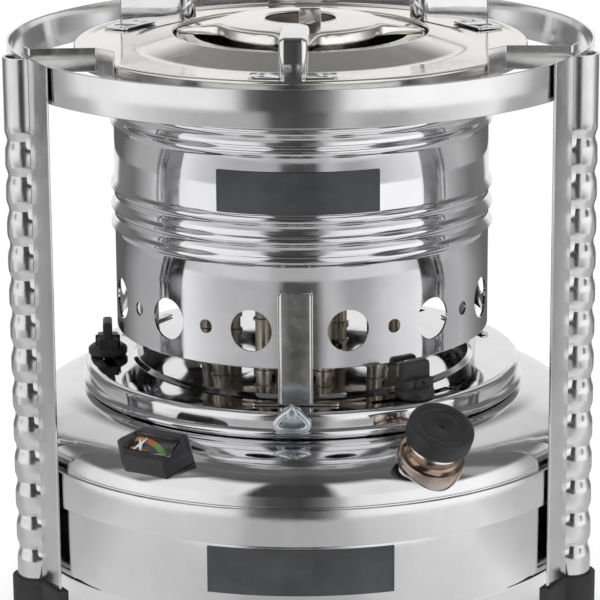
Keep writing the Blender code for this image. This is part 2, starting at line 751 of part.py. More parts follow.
def make_filler(tank_space):
    thread = []
    for ridge in range(THREAD_TURNS):
        crest = NECK_TOP - THREAD_PITCH * (ridge + 0.75)
        thread.append((NECK_R, crest + THREAD_PITCH / 3))
        thread.append((THREAD_R, crest))
        thread.append((NECK_R, crest - THREAD_PITCH / 3))
    neck_outline = [
        (NECK_R, NECK_TOP),
        *thread,
        (NECK_R, COLLAR_TOP + TANK_WALL),
        (COLLAR_R, COLLAR_TOP),
        (COLLAR_R, -NECK_R),
        (NECK_BORE_R, -NECK_R),
        (NECK_BORE_R, NECK_TOP),
    ]
    neck = turned("filler_neck", neck_outline, STEEL, FILLER_SEAT, SMALL_STEPS)
    cut(neck, tank_space)
    gasket_low = NECK_TOP + GAP
    gasket_top = gasket_low + GASKET_THICK
    gasket = [
        (GASKET_OUT_R, gasket_top), (GASKET_OUT_R, gasket_low), (GASKET_IN_R, gasket_low), (GASKET_IN_R, gasket_top)
    ]
    turned("cap_gasket", gasket, RUBBER, FILLER_SEAT, SMALL_STEPS)
    groove = GASKET_THICK / 3
    cap = [
        (0.0, CAP_TOP - GASKET_THICK),
        (0.1 * CAP_R, CAP_TOP - groove),
        (0.54 * CAP_R, CAP_TOP - groove),
        (0.6 * CAP_R, CAP_TOP - 2 * groove),
        (0.68 * CAP_R, CAP_TOP),
        (0.9 * CAP_R, CAP_TOP),
        (CAP_R, CAP_TOP - GASKET_THICK),
        (CAP_R, CAP_LOW),
        (CAP_BORE_R, CAP_LOW),
        (CAP_BORE_R, CAP_ROOF),
        (0.0, CAP_ROOF),
    ]
    turned("filler_cap", cap, BLACK, FILLER_SEAT, SMALL_STEPS, closed=False)


def gauge_outline(long, short):
    flat = GAUGE_FLAT_SHARE * long
    return [(long, 0.0), (flat, short), (-flat, short), (-long, 0.0), (-flat, -short), (flat, -short)]


def make_gauge(tank_space):
    depth = GAUGE_HALF_SHORT
    housing = plate(
        "gauge_housing", gauge_outline(GAUGE_HALF_LONG, GAUGE_HALF_SHORT), -depth, depth + GAUGE_HEIGHT,
        BLACK, GAUGE_SEAT,
    )
    work = bmesh.new()
    work.from_mesh(housing.data)
    rim = [
        edge for edge in work.edges
        if all(vert.co.z > GAUGE_HEIGHT - GAP for vert in edge.verts) and len(edge.link_faces) == 2
        and edge.calc_face_angle(0.0) > math.radians(45.0)
    ]
    bmesh.ops.bevel(work, geom=rim, offset=GAUGE_FACET, segments=1, affect="EDGES", profile=0.5)
    work.to_mesh(housing.data)
    work.free()
    pocket_floor = GAUGE_HEIGHT - POCKET_DEPTH
    pocket_top = GAUGE_HEIGHT + OVERRUN
    pocket = box(
        "gauge_pocket", (WINDOW_LONG, WINDOW_SHORT, pocket_top - pocket_floor),
        (0.0, 0.0, (pocket_top + pocket_floor) / 2), None, GAUGE_SEAT,
    )
    cut(housing, pocket)
    bore = ((POINTER_X, 0.0, -depth - OVERRUN), (POINTER_X, 0.0, pocket_floor + OVERRUN))
    cut(housing, rods("gauge_bore", [bore], GAUGE_HOLE_R, None, GAUGE_SEAT))
    cut(housing, tank_space)
    slack = 2 * GAP
    dial_top = pocket_floor + GAP + DIAL_THICK
    dial = box(
        "gauge_dial", (WINDOW_LONG - slack, WINDOW_SHORT - slack, DIAL_THICK),
        (0.0, 0.0, pocket_floor + GAP + DIAL_THICK / 2), DIAL, GAUGE_SEAT,
    )
    dial_bore = ((POINTER_X, 0.0, pocket_floor - OVERRUN), (POINTER_X, 0.0, dial_top + OVERRUN))
    cut(dial, rods("dial_bore", [dial_bore], GAUGE_HOLE_R, None, GAUGE_SEAT))
    box(
        "gauge_window", (WINDOW_LONG - slack, WINDOW_SHORT - slack, WINDOW_THICK),
        (0.0, 0.0, GAUGE_HEIGHT - WINDOW_THICK / 2), CLEAR, GAUGE_SEAT,
    )
    make_gauge_works(dial_top + GAP)


def make_gauge_works(pointer_low):
    """Pointer, shaft, arm and float turn as one about the leaning shaft; at rest the float is low."""
    end = Vector((POINTER_X, 0.0, -SHAFT_REACH))
    tilt = math.radians(GAUGE_TILT_DEG)
    swing = math.radians(ARM_LOW_DEG)
    across = ARM_REACH * math.cos(tilt)
    inward = Vector((across * math.cos(swing), across * math.sin(swing), -ARM_REACH * math.sin(tilt)))
    half = POINTER_WIDE / 2
    outline = [
        (-half, -POINTER_LONG / 2),
        (half, -POINTER_LONG / 2),
        (half, POINTER_LONG / 4),
        (0.0, POINTER_LONG * 0.7),
        (-half, POINTER_LONG / 4),
    ]
    pointer = plate("gauge_pointer", outline, pointer_low, POINTER_THICK, WHITE, GAUGE_SEAT, (POINTER_X, 0.0, 0.0))
    shaft = rods(
        "pointer_shaft", [((0.0, 0.0, -SHAFT_REACH), (0.0, 0.0, pointer_low + POINTER_THICK / 2))],
        SHAFT_R, None, GAUGE_SEAT,
    )
    shaft.location = (POINTER_X, 0.0, 0.0)
    unite(pointer, shaft)
    start = end + inward.normalized() * (SHAFT_R + GAP)
    arm_end = start + inward
    rods("float_arm", [(start, arm_end)], ARM_R, ZINC, GAUGE_SEAT)
    float_start = arm_end + inward.normalized() * GAP
    float_end = float_start + inward.normalized() * FLOAT_LENGTH
    rods("gauge_float", [(float_start, float_end)], FLOAT_R, FLOAT, GAUGE_SEAT, SMALL_STEPS)


def make_stage():
    inner = STAGE_R - STAGE_WALL
    foot = TANK_TOP_Z + GAP
    crown = STAGE_TOP - STAGE_WALL
    outer_arc = arc((STAGE_R - STAGE_CORNER, STAGE_TOP - STAGE_CORNER), STAGE_CORNER, 90.0, 0.0, 2)
    outline = [
        (STAGE_AIR_R, STAGE_TOP),
        *outer_arc,
        (STAGE_R, foot + 2 * STAGE_BEAD_H),
        (STAGE_BEAD_R, foot + 1.5 * STAGE_BEAD_H),
        (STAGE_BEAD_R, foot + STAGE_BEAD_H / 2),
        (STAGE_R, foot),
        (inner, foot),
        (inner, crown - STAGE_CORNER / 2),
        (inner - STAGE_CORNER / 2, crown),
        (STAGE_AIR_R, crown),
    ]
    stage = turned("burner_stage", outline, STEEL)
    holes = [(wick_spot(i, STAGE_TOP - OVERRUN), wick_spot(i, STAGE_TOP + OVERRUN)) for i in range(WICK_COUNT)]
    cut(stage, rods("stage_tube_holes", holes, TUBE_R + GAP))
    for i, angle in enumerate(KNOB_ANGLES):
        reach = REGULATOR_DEG + math.degrees(SLOT_HALF / KNOB_R)
        outer = arc((0.0, 0.0), KNOB_R + SLOT_HALF, angle - reach, angle + reach, 6)
        inner_side = arc((0.0, 0.0), KNOB_R - SLOT_HALF, angle + reach, angle - reach, 6)
        low = STAGE_TOP - OVERRUN
        cut(stage, plate("knob_slot_%d" % (i + 1), outer + inner_side, low, 2 * OVERRUN))


def drum_outline():
    top = PLATE_UNDER - GAP
    spots = [(DRUM_R, top)]
    for share in sorted(BEAD_SHARES, reverse=True):
        level = DRUM_BOTTOM + DRUM_SPAN * share
        spots.append((DRUM_R, level + BEAD_HALF))
        spots.append((DRUM_R + BEAD_PROUD, level))
        spots.append((DRUM_R, level - BEAD_HALF))
    inner = DRUM_R - DRUM_WALL
    return [*spots, (DRUM_R, DRUM_BOTTOM), (inner, DRUM_BOTTOM), (inner, top)]


def make_drum():
    drum = turned("burner_drum", drum_outline(), STEEL)
    middle = FRONT_DEG + DRUM_TURN_DEG
    height = DRUM_BOTTOM + VENT_LIFT
    near = DRUM_R - DRUM_WALL - OVERRUN
    far = DRUM_R + BEAD_PROUD + OVERRUN
    big = []
    small = []
    for vent in range(VENT_COUNT):
        angle = middle + VENT_PITCH_DEG * (vent + 0.5 - VENT_COUNT / 2)
        big.append((polar(near, angle, height), polar(far, angle, height)))
        if vent < VENT_COUNT - 1:
            between = angle + VENT_PITCH_DEG / 2
            small.append((polar(near, between, height), polar(far, between, height)))
    front = VENT_COUNT // 2 - 1
    del small[front]
    cut(drum, rods("drum_big_vents", big, VENT_BIG_R, None, None, SMALL_STEPS))
    cut(drum, rods("drum_small_vents", small, VENT_SMALL_R, None, None, TINY_STEPS))


def make_straps():
    face = DRUM_R + GAP
    back = face + STRAP_SHEET
    lip = back + STRAP_LIP
    half = STRAP_WIDTH / 2
    thin = STRAP_SHEET
    outline = [
        (-half, face), (half, face), (half, lip), (half - thin, lip),
        (half - thin, back), (-half + thin, back), (-half + thin, lip), (-half, lip),
    ]
    low = STAGE_TOP + GAP
    for i, side in enumerate(("front", "right", "left")):
        turn = 180.0 + STRAP_TURN_DEG + FULL_TURN * i / 3
        strap = plate("drum_strap_" + side, outline, low, STRAP_TOP - low, STEEL, None, (0.0, 0.0, 0.0), turn)
        foot = box(
            "strap_foot_" + side, (STRAP_WIDTH + 2 * STRAP_FOOT, lip - face, thin),
            (0.0, (face + lip) / 2, low + thin / 2), None, None, (0.0, 0.0, 0.0), turn,
        )
        unite(strap, foot)


def make_ring_pull():
    """A lug with a headed pin on the stage's skirt, and the wire ring that hangs on it."""
    turn = 180.0 + PULL_TURN_DEG
    near = STAGE_R + GAP
    far = near + LUG_THICK
    bead_top = TANK_TOP_Z + GAP + 2 * STAGE_BEAD_H
    low = max(LUG_LOW, bead_top + GAP)
    outline = [(-LUG_WIDTH / 2, near), (LUG_WIDTH / 2, near), (LUG_WIDTH / 2, far), (-LUG_WIDTH / 2, far)]
    lug = plate("pull_lug", outline, low, LUG_TOP - low, ZINC, None, (0.0, 0.0, 0.0), turn)
    work = bmesh.new()
    head = far + PIN_LENGTH
    rod_between(work, (0.0, near + LUG_THICK / 2, PIN_Z), (0.0, head, PIN_Z), PIN_R)
    pin = add("pull_pin", mesh_from(work, "pull_pin"), None, None, (0.0, 0.0, 0.0), turn)
    work = bmesh.new()
    rod_between(work, (0.0, head - PIN_HEAD_H / 2, PIN_Z), (0.0, head + PIN_HEAD_H / 2, PIN_Z), PIN_HEAD_R)
    cap = add("pull_pin_head", mesh_from(work, "pull_pin_head"), None, None, (0.0, 0.0, 0.0), turn)
    unite(lug, pin)
    unite(lug, cap)
    middle = far + PIN_LENGTH / 2
    top = PIN_Z + PIN_R + GAP + PULL_WIRE_R
    spots = []
    count = 16
    for step in range(count):
        angle = 2 * math.pi * step / count
        across = math.sin(angle) * PULL_HALF_WIDTH * (1 - 0.16 * math.cos(angle))
        drop = PULL_DROP * (1 - math.cos(angle)) / 2
        spots.append((across, middle, top - drop))
    pull = wire("ring_pull", spots, PULL_WIRE_R, ZINC, None, True)
    pull.rotation_euler.z = math.radians(turn)


def make_wick_tubes():
    low = GALLERY_Z
    top = low + GALLERY_THICK
    gallery = turned(
        "wick_tubes",
        [(GALLERY_OUT_R, top), (GALLERY_OUT_R, low), (GALLERY_IN_R, low), (GALLERY_IN_R, top)],
        BRASS,
    )
    spans = [(wick_spot(i, TUBE_BOTTOM), wick_spot(i, TUBE_TOP)) for i in range(WICK_COUNT)]
    bores = [(wick_spot(i, TUBE_BOTTOM - OVERRUN), wick_spot(i, TUBE_TOP + OVERRUN)) for i in range(WICK_COUNT)]
    unite(gallery, rods("tube_walls", spans, TUBE_R))
    cut(gallery, rods("tube_bores", bores, TUBE_BORE_R))


def make_sleeve(name, radius, top, lip_r):
    low = GALLERY_Z + GALLERY_THICK + GAP
    inner = radius - SLEEVE_WALL
    outline = [(radius, top), (radius, low), (inner, low)]
    if lip_r is None:
        outline.append((inner, top))
    else:
        outline += [(inner, top - SLEEVE_WALL), (lip_r, top - SLEEVE_WALL), (lip_r, top)]
    sleeve = turned(name, outline, STEEL, None, BIG_STEPS if lip_r else BIG_STEPS * 4 // 5)
    spans = []
    for row in range(SLEEVE_ROWS):
        height = SLEEVE_ROW_LOW + SLEEVE_ROW_PITCH * row
        for vent in range(SLEEVE_VENTS):
            angle = FULL_TURN * (vent + 0.5 * row) / SLEEVE_VENTS
            spans.append((polar(inner - OVERRUN, angle, height), polar(radius + OVERRUN, angle, height)))
    cut(sleeve, rods(name + "_vents", spans, SLEEVE_VENT_R, None, None, 6))


def spreader_height(radius):
    """Top of the spreader: a low crown, then a slope out to the tips."""
    if radius <= SPREADER_R:
        return SPREADER_CROWN_Z - (SPREADER_CROWN_Z - SPREADER_BEND_Z) * (radius / SPREADER_R) ** 2
    along = (radius - SPREADER_R) / (SPREADER_TIP_R - SPREADER_R)
    return SPREADER_BEND_Z + (SPREADER_TIP_Z - SPREADER_BEND_Z) * along


def make_spreader():
    """A star with four tips, a skirt between them, a middle hole and a finger tab."""
    corner_shares = (0.0, 0.045, 0.09, 0.14, 0.22, 0.5, 0.78, 0.86, 0.91, 0.955)
    spread_shares = (0.0, 0.5, 1.0)
    angles = [90.0 * (side + share) for side in range(4) for share in corner_shares]
    work = bmesh.new()
    rings = []
    reaches = []
    for angle in angles:
        off = (angle + 45.0) % 90.0 - 45.0
        tip_share = math.exp(-((off / SPREADER_TIP_DEG) ** 2))
        reaches.append((SPREADER_R + (SPREADER_TIP_R - SPREADER_R) * tip_share, tip_share))
    for share in spread_shares:
        ring = []
        for angle, (reach, tip_share) in zip(angles, reaches):
            radius = SPREADER_HOLE_R + (reach - SPREADER_HOLE_R) * share
            ring.append(work.verts.new(polar(radius, angle + TOP_TURN_DEG, spreader_height(radius))))
        rings.append(ring)
    skirt = []
    for angle, (reach, tip_share) in zip(angles, reaches):
        drop = (SPREADER_BEND_Z - SPREADER_SKIRT_Z) * (1.0 - tip_share) + SPREADER_THICK * tip_share
        out = SPREADER_SKIRT_OUT * (1.0 - tip_share)
        height = spreader_height(reach) - drop
        skirt.append(work.verts.new(polar(reach + out, angle + TOP_TURN_DEG, height)))
    rings.append(skirt)
    for inner, outer in zip(rings, rings[1:]):
        for i in range(len(angles)):
            j = (i + 1) % len(angles)
            work.faces.new((inner[i], outer[i], outer[j], inner[j]))
    mesh = bpy.data.meshes.new("flame_spreader")
    work.to_mesh(mesh)
    work.free()
    spreader = add("flame_spreader", mesh, CREAM)
    shell = spreader.modifiers.new("sheet", "SOLIDIFY")
    shell.thickness = SPREADER_THICK
    shell.offset = -1.0
    across, forward = SPREADER_TAB_PLACE
    foot = spreader_height(abs(forward)) - SPREADER_THICK / 2
    tab = box(
        "spreader_tab", (SPREADER_TAB_W, SPREADER_THICK, SPREADER_TAB_TOP - foot),
        (across, forward, (SPREADER_TAB_TOP + foot) / 2),
    )
    unite(spreader, tab)


PLATE_UNDER = ANNULUS_Z - PLATE_THICK


def make_top_plate():
    inner = PLATE_R - PLATE_THICK
    outline = [
        (OPENING_R, OPENING_Z),
        (CONE_FOOT_R, ANNULUS_Z),
        (PLATE_R - 2 * PLATE_BEAD, ANNULUS_Z),
        (PLATE_R - PLATE_BEAD, PLATE_RIM_Z),
        (PLATE_R, PLATE_RIM_Z - PLATE_BEAD / 2),
        (PLATE_R, PLATE_SKIRT_LOW),
        (inner, PLATE_SKIRT_LOW),
        (inner, PLATE_UNDER),
        (CONE_FOOT_R, PLATE_UNDER),
        (OPENING_R + PLATE_THICK, OPENING_Z - 1.3 * PLATE_THICK),
        (OPENING_R + PLATE_THICK, OPENING_Z - COLLAR_DEPTH),
        (OPENING_R, OPENING_Z - COLLAR_DEPTH),
    ]
    turned("top_plate", outline, CREAM)


def support_floor(radius):
    """Height of the underside of a pan support over the top plate."""
    slope = (OPENING_Z - ANNULUS_Z) / (CONE_FOOT_R - OPENING_R)
    return ANNULUS_Z + GAP + max(0.0, CONE_FOOT_R - radius) * slope


def make_support(side, degrees):
    """A pressed box with an open underside that follows the plate, and two welded tabs."""
    half = SUPPORT_WIDTH / 2
    low = support_floor(SUPPORT_OUT_R)
    outline = [
        (SUPPORT_IN_R, support_floor(SUPPORT_IN_R)),
        (CONE_FOOT_R, low),
        (SUPPORT_OUT_R, low),
        (SUPPORT_OUT_R, SUPPORT_TOP),
        (SUPPORT_IN_R, SUPPORT_TOP),
    ]
    work = bmesh.new()
    near = [work.verts.new((x, -half, z)) for x, z in outline]
    far = [work.verts.new((x, half, z)) for x, z in outline]
    work.faces.new(near)
    work.faces.new(far[::-1])
    count = len(outline)
    for i in range(2, count):
        j = (i + 1) % count
        work.faces.new((near[j], near[i], far[i], far[j]))
    work.edges.ensure_lookup_table()
    rounded = [
        edge for edge in work.edges
        if len(edge.link_faces) == 2 and all(vert.co.x < SUPPORT_IN_R + GAP for vert in edge.verts)
        and abs(edge.verts[0].co.z - edge.verts[1].co.z) > half
    ]
    bmesh.ops.bevel(work, geom=rounded, offset=SUPPORT_ROUND, segments=3, affect="EDGES", profile=0.5)
    corners = [
        edge for edge in work.edges
        if len(edge.link_faces) == 2 and all(vert.co.x > SUPPORT_OUT_R - GAP for vert in edge.verts)
    ]
    bmesh.ops.bevel(work, geom=corners, offset=SUPPORT_CORNER, segments=2, affect="EDGES", profile=0.5)
    name = "pan_support_" + side
    support = add(name, mesh_from(work, name), STEEL, None, (0.0, 0.0, 0.0), degrees)
    shell = support.modifiers.new("sheet", "SOLIDIFY")
    shell.thickness = SUPPORT_SHEET
    shell.offset = -1.0
    tabs = box(
        "support_tabs_" + side, (TAB_LENGTH, SUPPORT_WIDTH + 2 * TAB_REACH, SUPPORT_SHEET),
        (TAB_OUT_R - TAB_LENGTH / 2, 0.0, low + SUPPORT_SHEET / 2), None, None,
        (0.0, 0.0, 0.0), degrees,
    )
    unite(support, tabs)


def make_top():
    make_top_plate()
    for i, side in enumerate(("right", "left", "front")):
        make_support(side, SUPPORT_FIRST_DEG + SUPPORT_PITCH_DEG * i + TOP_TURN_DEG)
    make_spreader()


def ring_sector(radius_low, radius_high, angle_low, angle_high, base, height_at, name):
    """A closed block between two radii and two angles, whose top follows height_at."""
    work = bmesh.new()
    sections = []
    for step in range(RAMP_STEPS + 1):
        angle = angle_low + (angle_high - angle_low) * step / RAMP_STEPS
        top = height_at(angle)
        corners = (
            polar(radius_low, angle, base),
            polar(radius_high, angle, base),
            polar(radius_high, angle, top),
            polar(radius_low, angle, top),
        )
        sections.append([work.verts.new(corner) for corner in corners])
    for one, two in zip(sections, sections[1:]):
        for i in range(4):
            j = (i + 1) % 4
            work.faces.new((one[i], one[j], two[j], two[i]))
    work.faces.new(sections[0])
    work.faces.new(sections[-1])
    return add(name, mesh_from(work, name))


def make_regulator():
    low = TANK_TOP_Z + GAP
    top = low + CONTROL_THICK
    outline = [(CONTROL_OUT_R, top), (CONTROL_OUT_R, low), (CONTROL_IN_R, low), (CONTROL_IN_R, top)]
    ring = turned("control_ring", outline, STEEL)
    rest = LIFT_PIN_LEVEL - LIFT_PIN_R - GAP
    slope = LIFT_TRAVEL / REGULATOR_DEG
    for i, middle in enumerate(ROD_ANGLES):
        reach = REGULATOR_DEG + RAMP_MARGIN_DEG

        def ramp_height(angle, middle=middle):
            return rest + slope * (middle - angle)

        ramp = ring_sector(
            RAMP_IN_R, CONTROL_IN_R + GAP, middle - reach, middle + reach, low, ramp_height, "ramp_%d" % (i + 1)
        )
        unite(ring, ramp)
    for i, angle in enumerate(KNOB_ANGLES):
        make_knob("regulator_knob_%d" % (i + 1), angle, top + GAP)


def make_knob(name, degrees, stem_low):
    """A flat finger grip with a round hub through it, on a stem through the stage's slot."""
    low = STAGE_TOP + GAP
    half = KNOB_WIDTH / 2
    shoulder = KNOB_SHOULDER / 2
    thin = KNOB_THICK / 2
    grip = plate(
        name,
        [(half, -thin), (half, thin), (-half, thin), (-half, -thin)],
        low, KNOB_HEIGHT * 0.62, BLACK, None, polar(KNOB_R, degrees), degrees + 90.0,
    )
    crown = box(
        name + "_crown", (KNOB_SHOULDER, KNOB_THICK, KNOB_HEIGHT), (0.0, 0.0, low + KNOB_HEIGHT / 2),
        None, None, polar(KNOB_R, degrees), degrees + 90.0,
    )
    height = low + KNOB_HUB_Z
    hub_half = KNOB_HUB_LENGTH / 2
    inner = polar(KNOB_R - hub_half, degrees, height)
    outer = polar(KNOB_R + hub_half, degrees, height)
    unite(grip, crown)
    unite(grip, rods(name + "_hub", [(inner, outer)], KNOB_HUB_R, None, None, 12))
    stem = (polar(KNOB_R, degrees, stem_low), polar(KNOB_R, degrees, low + shoulder / 2))
    unite(grip, rods(name + "_stem", [stem], KNOB_STEM_R))


def make_carrier():
    low = CARRIER_Z
    top = low + CARRIER_THICK
    outline = [(CARRIER_OUT_R, top), (CARRIER_OUT_R, low), (CARRIER_IN_R, low), (CARRIER_IN_R, top)]
    carrier = turned("wick_carrier", outline, ZINC, None, BIG_STEPS * 4 // 5)
    for i, angle in enumerate(ROD_ANGLES):
        arm = box(
            "carrier_arm_%d" % (i + 1),
            (ROD_RING_R + ARM_HALF - CARRIER_OUT_R + ARM_HALF, 2 * ARM_HALF, CARRIER_THICK),
            ((ROD_RING_R + CARRIER_OUT_R) / 2, 0.0, low + CARRIER_THICK / 2), None, None,
            (0.0, 0.0, 0.0), angle,
        )
        unite(carrier, arm)
    spans = []
    pegs = []
    for angle in ROD_ANGLES:
        foot = polar(ROD_RING_R, angle, low + CARRIER_THICK / 2)
        spans.append((foot, polar(ROD_RING_R, angle, LIFT_PIN_LEVEL + LIFT_PIN_R)))
        peg_end = polar(CONTROL_IN_R - GAP, angle, LIFT_PIN_LEVEL)
        pegs.append((polar(ROD_RING_R, angle, LIFT_PIN_LEVEL), peg_end))
    unite(carrier, rods("lift_rods", spans, ROD_R))
    unite(carrier, rods("lift_pegs", pegs, LIFT_PIN_R))
    holes = [(wick_spot(i, low - OVERRUN), wick_spot(i, top + OVERRUN)) for i in range(WICK_COUNT)]
    cut(carrier, rods("carrier_holes", holes, WICK_R + GAP))
    for i in range(WICK_COUNT):
        rods("wick_%02d" % (i + 1), [(wick_spot(i, WICK_BOTTOM), wick_spot(i, WICK_TOP))], WICK_R, COTTON)


def curved_plate(name, radius, low, top, span):
    outer = arc((0.0, 0.0), radius + PLATE_SHEET, span[0], span[1], PLATE_ARC_STEPS)
    inner = arc((0.0, 0.0), radius, span[1], span[0], PLATE_ARC_STEPS)
    plate(name, outer + inner, low, top - low, BLACK)


def main():
    make_stand()
    make_tank()
    tank_space = make_dome_cutter()
    make_filler(tank_space)
    make_gauge(tank_space)
    make_stage()
    make_drum()
    make_straps()
    make_ring_pull()
    make_wick_tubes()
    make_sleeve("outer_sleeve", OUTER_SLEEVE_R, OUTER_SLEEVE_TOP, OUTER_LIP_R)
    seat = spreader_height(INNER_SLEEVE_R) - 1.1 * SPREADER_THICK - GAP
    make_sleeve("inner_sleeve", INNER_SLEEVE_R, seat, None)
    make_top()
    make_regulator()
    make_carrier()
    curved_plate("drum_plate", DRUM_R + BEAD_PROUD / 6, DRUM_PLATE_LOW, DRUM_PLATE_TOP, DRUM_PLATE_DEG)
    curved_plate("tank_plate", TANK_R + GAP, TANK_PLATE_LOW, TANK_PLATE_TOP, TANK_PLATE_DEG)
    bpy.context.view_layer.update()


main()
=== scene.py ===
import math

import bmesh
import bpy
from mathutils import Matrix, Vector


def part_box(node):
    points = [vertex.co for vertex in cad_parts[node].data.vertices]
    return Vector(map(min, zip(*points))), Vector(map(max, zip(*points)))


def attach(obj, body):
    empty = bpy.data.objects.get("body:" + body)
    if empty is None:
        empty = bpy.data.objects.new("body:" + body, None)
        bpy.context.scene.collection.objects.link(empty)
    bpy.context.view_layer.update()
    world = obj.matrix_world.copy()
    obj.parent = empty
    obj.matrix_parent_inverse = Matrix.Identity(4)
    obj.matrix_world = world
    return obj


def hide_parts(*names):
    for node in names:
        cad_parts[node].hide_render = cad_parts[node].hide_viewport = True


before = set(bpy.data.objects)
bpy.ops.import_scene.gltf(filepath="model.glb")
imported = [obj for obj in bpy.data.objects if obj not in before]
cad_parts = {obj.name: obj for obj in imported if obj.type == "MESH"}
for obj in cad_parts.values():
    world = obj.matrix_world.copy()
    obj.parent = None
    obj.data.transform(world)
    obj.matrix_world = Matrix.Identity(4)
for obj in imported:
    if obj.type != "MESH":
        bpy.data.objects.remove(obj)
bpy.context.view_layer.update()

ringLow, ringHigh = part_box("upper_ring")
axisY = (ringLow.y + ringHigh.y) / 2  # the stove's axis stands a little in front of the origin
fineMerge = 0.0000005  # for pieces with details near the usual merging distance
print("frame loaded, stove axis at y", round(axisY, 5))


def clearSelection():
    if bpy.context.mode != "OBJECT":
        bpy.ops.object.mode_set(mode="OBJECT")
    bpy.ops.object.select_all(action="DESELECT")


def activate(piece):
    clearSelection()
    piece.select_set(True)
    bpy.context.view_layer.objects.active = piece


def applyPlace():
    bpy.ops.object.transform_apply(location=True, rotation=True, scale=True)


def setDown(piece, spot=(0.0, 0.0, 0.0), tilt=0.0):
    # tilt turns what was drawn lying down about the across axis
    activate(piece)
    piece.rotation_euler.x = tilt
    piece.location = spot
    applyPlace()
    return piece


def dropPiece(piece):
    activate(piece)
    bpy.ops.object.delete()


def boxOutline(halfX, halfY):
    return [(-halfX, -halfY), (halfX, -halfY), (halfX, halfY), (-halfX, halfY)]


def openMesh(piece):
    activate(piece)
    bpy.ops.object.mode_set(mode="EDIT")
    bpy.ops.mesh.select_mode(type="VERT")
    bpy.ops.mesh.select_all(action="SELECT")


def closeMesh(merge=0.000004):
    bpy.ops.mesh.select_all(action="SELECT")
    bpy.ops.mesh.remove_doubles(threshold=merge)
    bpy.ops.mesh.normals_make_consistent(inside=False)
    bpy.ops.object.mode_set(mode="OBJECT")


def pick(piece, test, kind="VERT"):
    bpy.ops.mesh.select_all(action="DESELECT")
    bpy.ops.mesh.select_mode(type=kind)
    mesh = bmesh.from_edit_mesh(piece.data)
    parts = {"VERT": mesh.verts, "EDGE": mesh.edges, "FACE": mesh.faces}[kind]
    count = 0
    for part in parts:
        if test(part):
            part.select_set(True)
            count += 1
    bmesh.update_edit_mesh(piece.data)
    return count


def around(radius, degrees, height=0.0):
    turn = math.radians(degrees)
    return Vector((radius * math.cos(turn), radius * math.sin(turn), height))


def arcPoints(centre, radius, start, end, steps):
    points = []
    for step in range(steps + 1):
        turn = math.radians(start + (end - start) * step / steps)
        points.append((centre[0] + radius * math.cos(turn), centre[1] + radius * math.sin(turn)))
    return points


def softCorners(points, radii, steps=4, closed=True):
    # each corner of a flat outline is rounded by its own radius
    if not isinstance(radii, (list, tuple)):
        radii = [radii] * len(points)
    count = len(points)
    result = []
    for i, (here, radius) in enumerate(zip(points, radii)):
        if radius <= 0.0 or (not closed and i in (0, count - 1)):
            result.append(tuple(here))
            continue
        corner = Vector(here)
        before = (Vector(points[i - 1]) - corner)
        after = (Vector(points[(i + 1) % count]) - corner)
        half = before.angle(after) / 2
        reach = radius / math.tan(half)
        reach = min(reach, before.length * 0.49, after.length * 0.49)
        start = corner + before.normalized() * reach
        end = corner + after.normalized() * reach
        for step in range(steps + 1):
            share = step / steps
            result.append(tuple(start.lerp(corner, share).lerp(corner.lerp(end, share), share)))
    return result


def besideLine(points, distance):
    # a line that keeps its distance from another, for the other face of a sheet
    result = []
    for i, spot in enumerate(points):
        here = Vector(spot)
        before = (here - Vector(points[i - 1])).normalized() if i else None
        after = (Vector(points[i + 1]) - here).normalized() if i < len(points) - 1 else None
        before = before or after
        after = after or before
        normalIn = Vector((-before.y, before.x))
        normalOut = Vector((-after.y, after.x))
        middle = (normalIn + normalOut).normalized()
        reach = distance / max(middle.dot(normalIn), 0.4)
        result.append(tuple(here + middle * reach))
    return result


def drawLine(name, points, closed=False):
    clearSelection()
    points = [Vector(point) for point in points]
    bpy.ops.mesh.primitive_plane_add(size=0.0002, location=(0, 0, 0))
    piece = bpy.context.object
    piece.name = name
    piece.data.name = name
    bpy.ops.object.mode_set(mode="EDIT")
    bpy.ops.mesh.select_mode(type="VERT")
    bpy.ops.mesh.select_all(action="SELECT")
    bpy.ops.mesh.merge(type="CENTER")
    bpy.ops.transform.translate(value=points[0])
    for here, there in zip(points, points[1:]):
        bpy.ops.mesh.extrude_region_move(TRANSFORM_OT_translate={"value": there - here})
    if closed:
        first, last = points[0], points[-1]
        pick(piece, lambda vert: (vert.co - first).length < 1e-7 or (vert.co - last).length < 1e-7)
        bpy.ops.mesh.edge_face_add()
    return piece


def spinSection(name, section, steps=192, closed=True, degrees=360.0, start=0.0):
    # a cut through one side of a turned piece, spun round the upright axis
    turn = math.radians(start)
    points = [(r * math.cos(turn), r * math.sin(turn), z) for r, z in section]
    piece = drawLine(name, points, closed)
    bpy.ops.mesh.select_all(action="SELECT")
    if degrees < 360.0:
        bpy.ops.mesh.edge_face_add()
        bpy.ops.mesh.select_all(action="SELECT")
        bpy.ops.mesh.spin(steps=steps, angle=math.radians(degrees), center=(0, 0, 0), axis=(0, 0, 1))
    else:
        bpy.ops.mesh.spin(steps=steps, angle=2 * math.pi, center=(0, 0, 0), axis=(0, 0, 1))
    closeMesh()
    return piece


def raiseOutline(name, outline, low, high):
    # a flat outline filled and pulled up to a slab
    piece = drawLine(name, [(x, y, low) for x, y in outline], True)
    bpy.ops.mesh.select_all(action="SELECT")
    bpy.ops.mesh.edge_face_add()
    bpy.ops.mesh.extrude_region_move(TRANSFORM_OT_translate={"value": (0, 0, high - low)})
    closeMesh(fineMerge)
    return piece


def easedSlab(name, outline, radii, steps, low, high, edge, segments=2):
    piece = raiseOutline(name, softCorners(outline, radii, steps), low, high)
    roundEdges(piece, edge, segments, 60.0)
    return piece


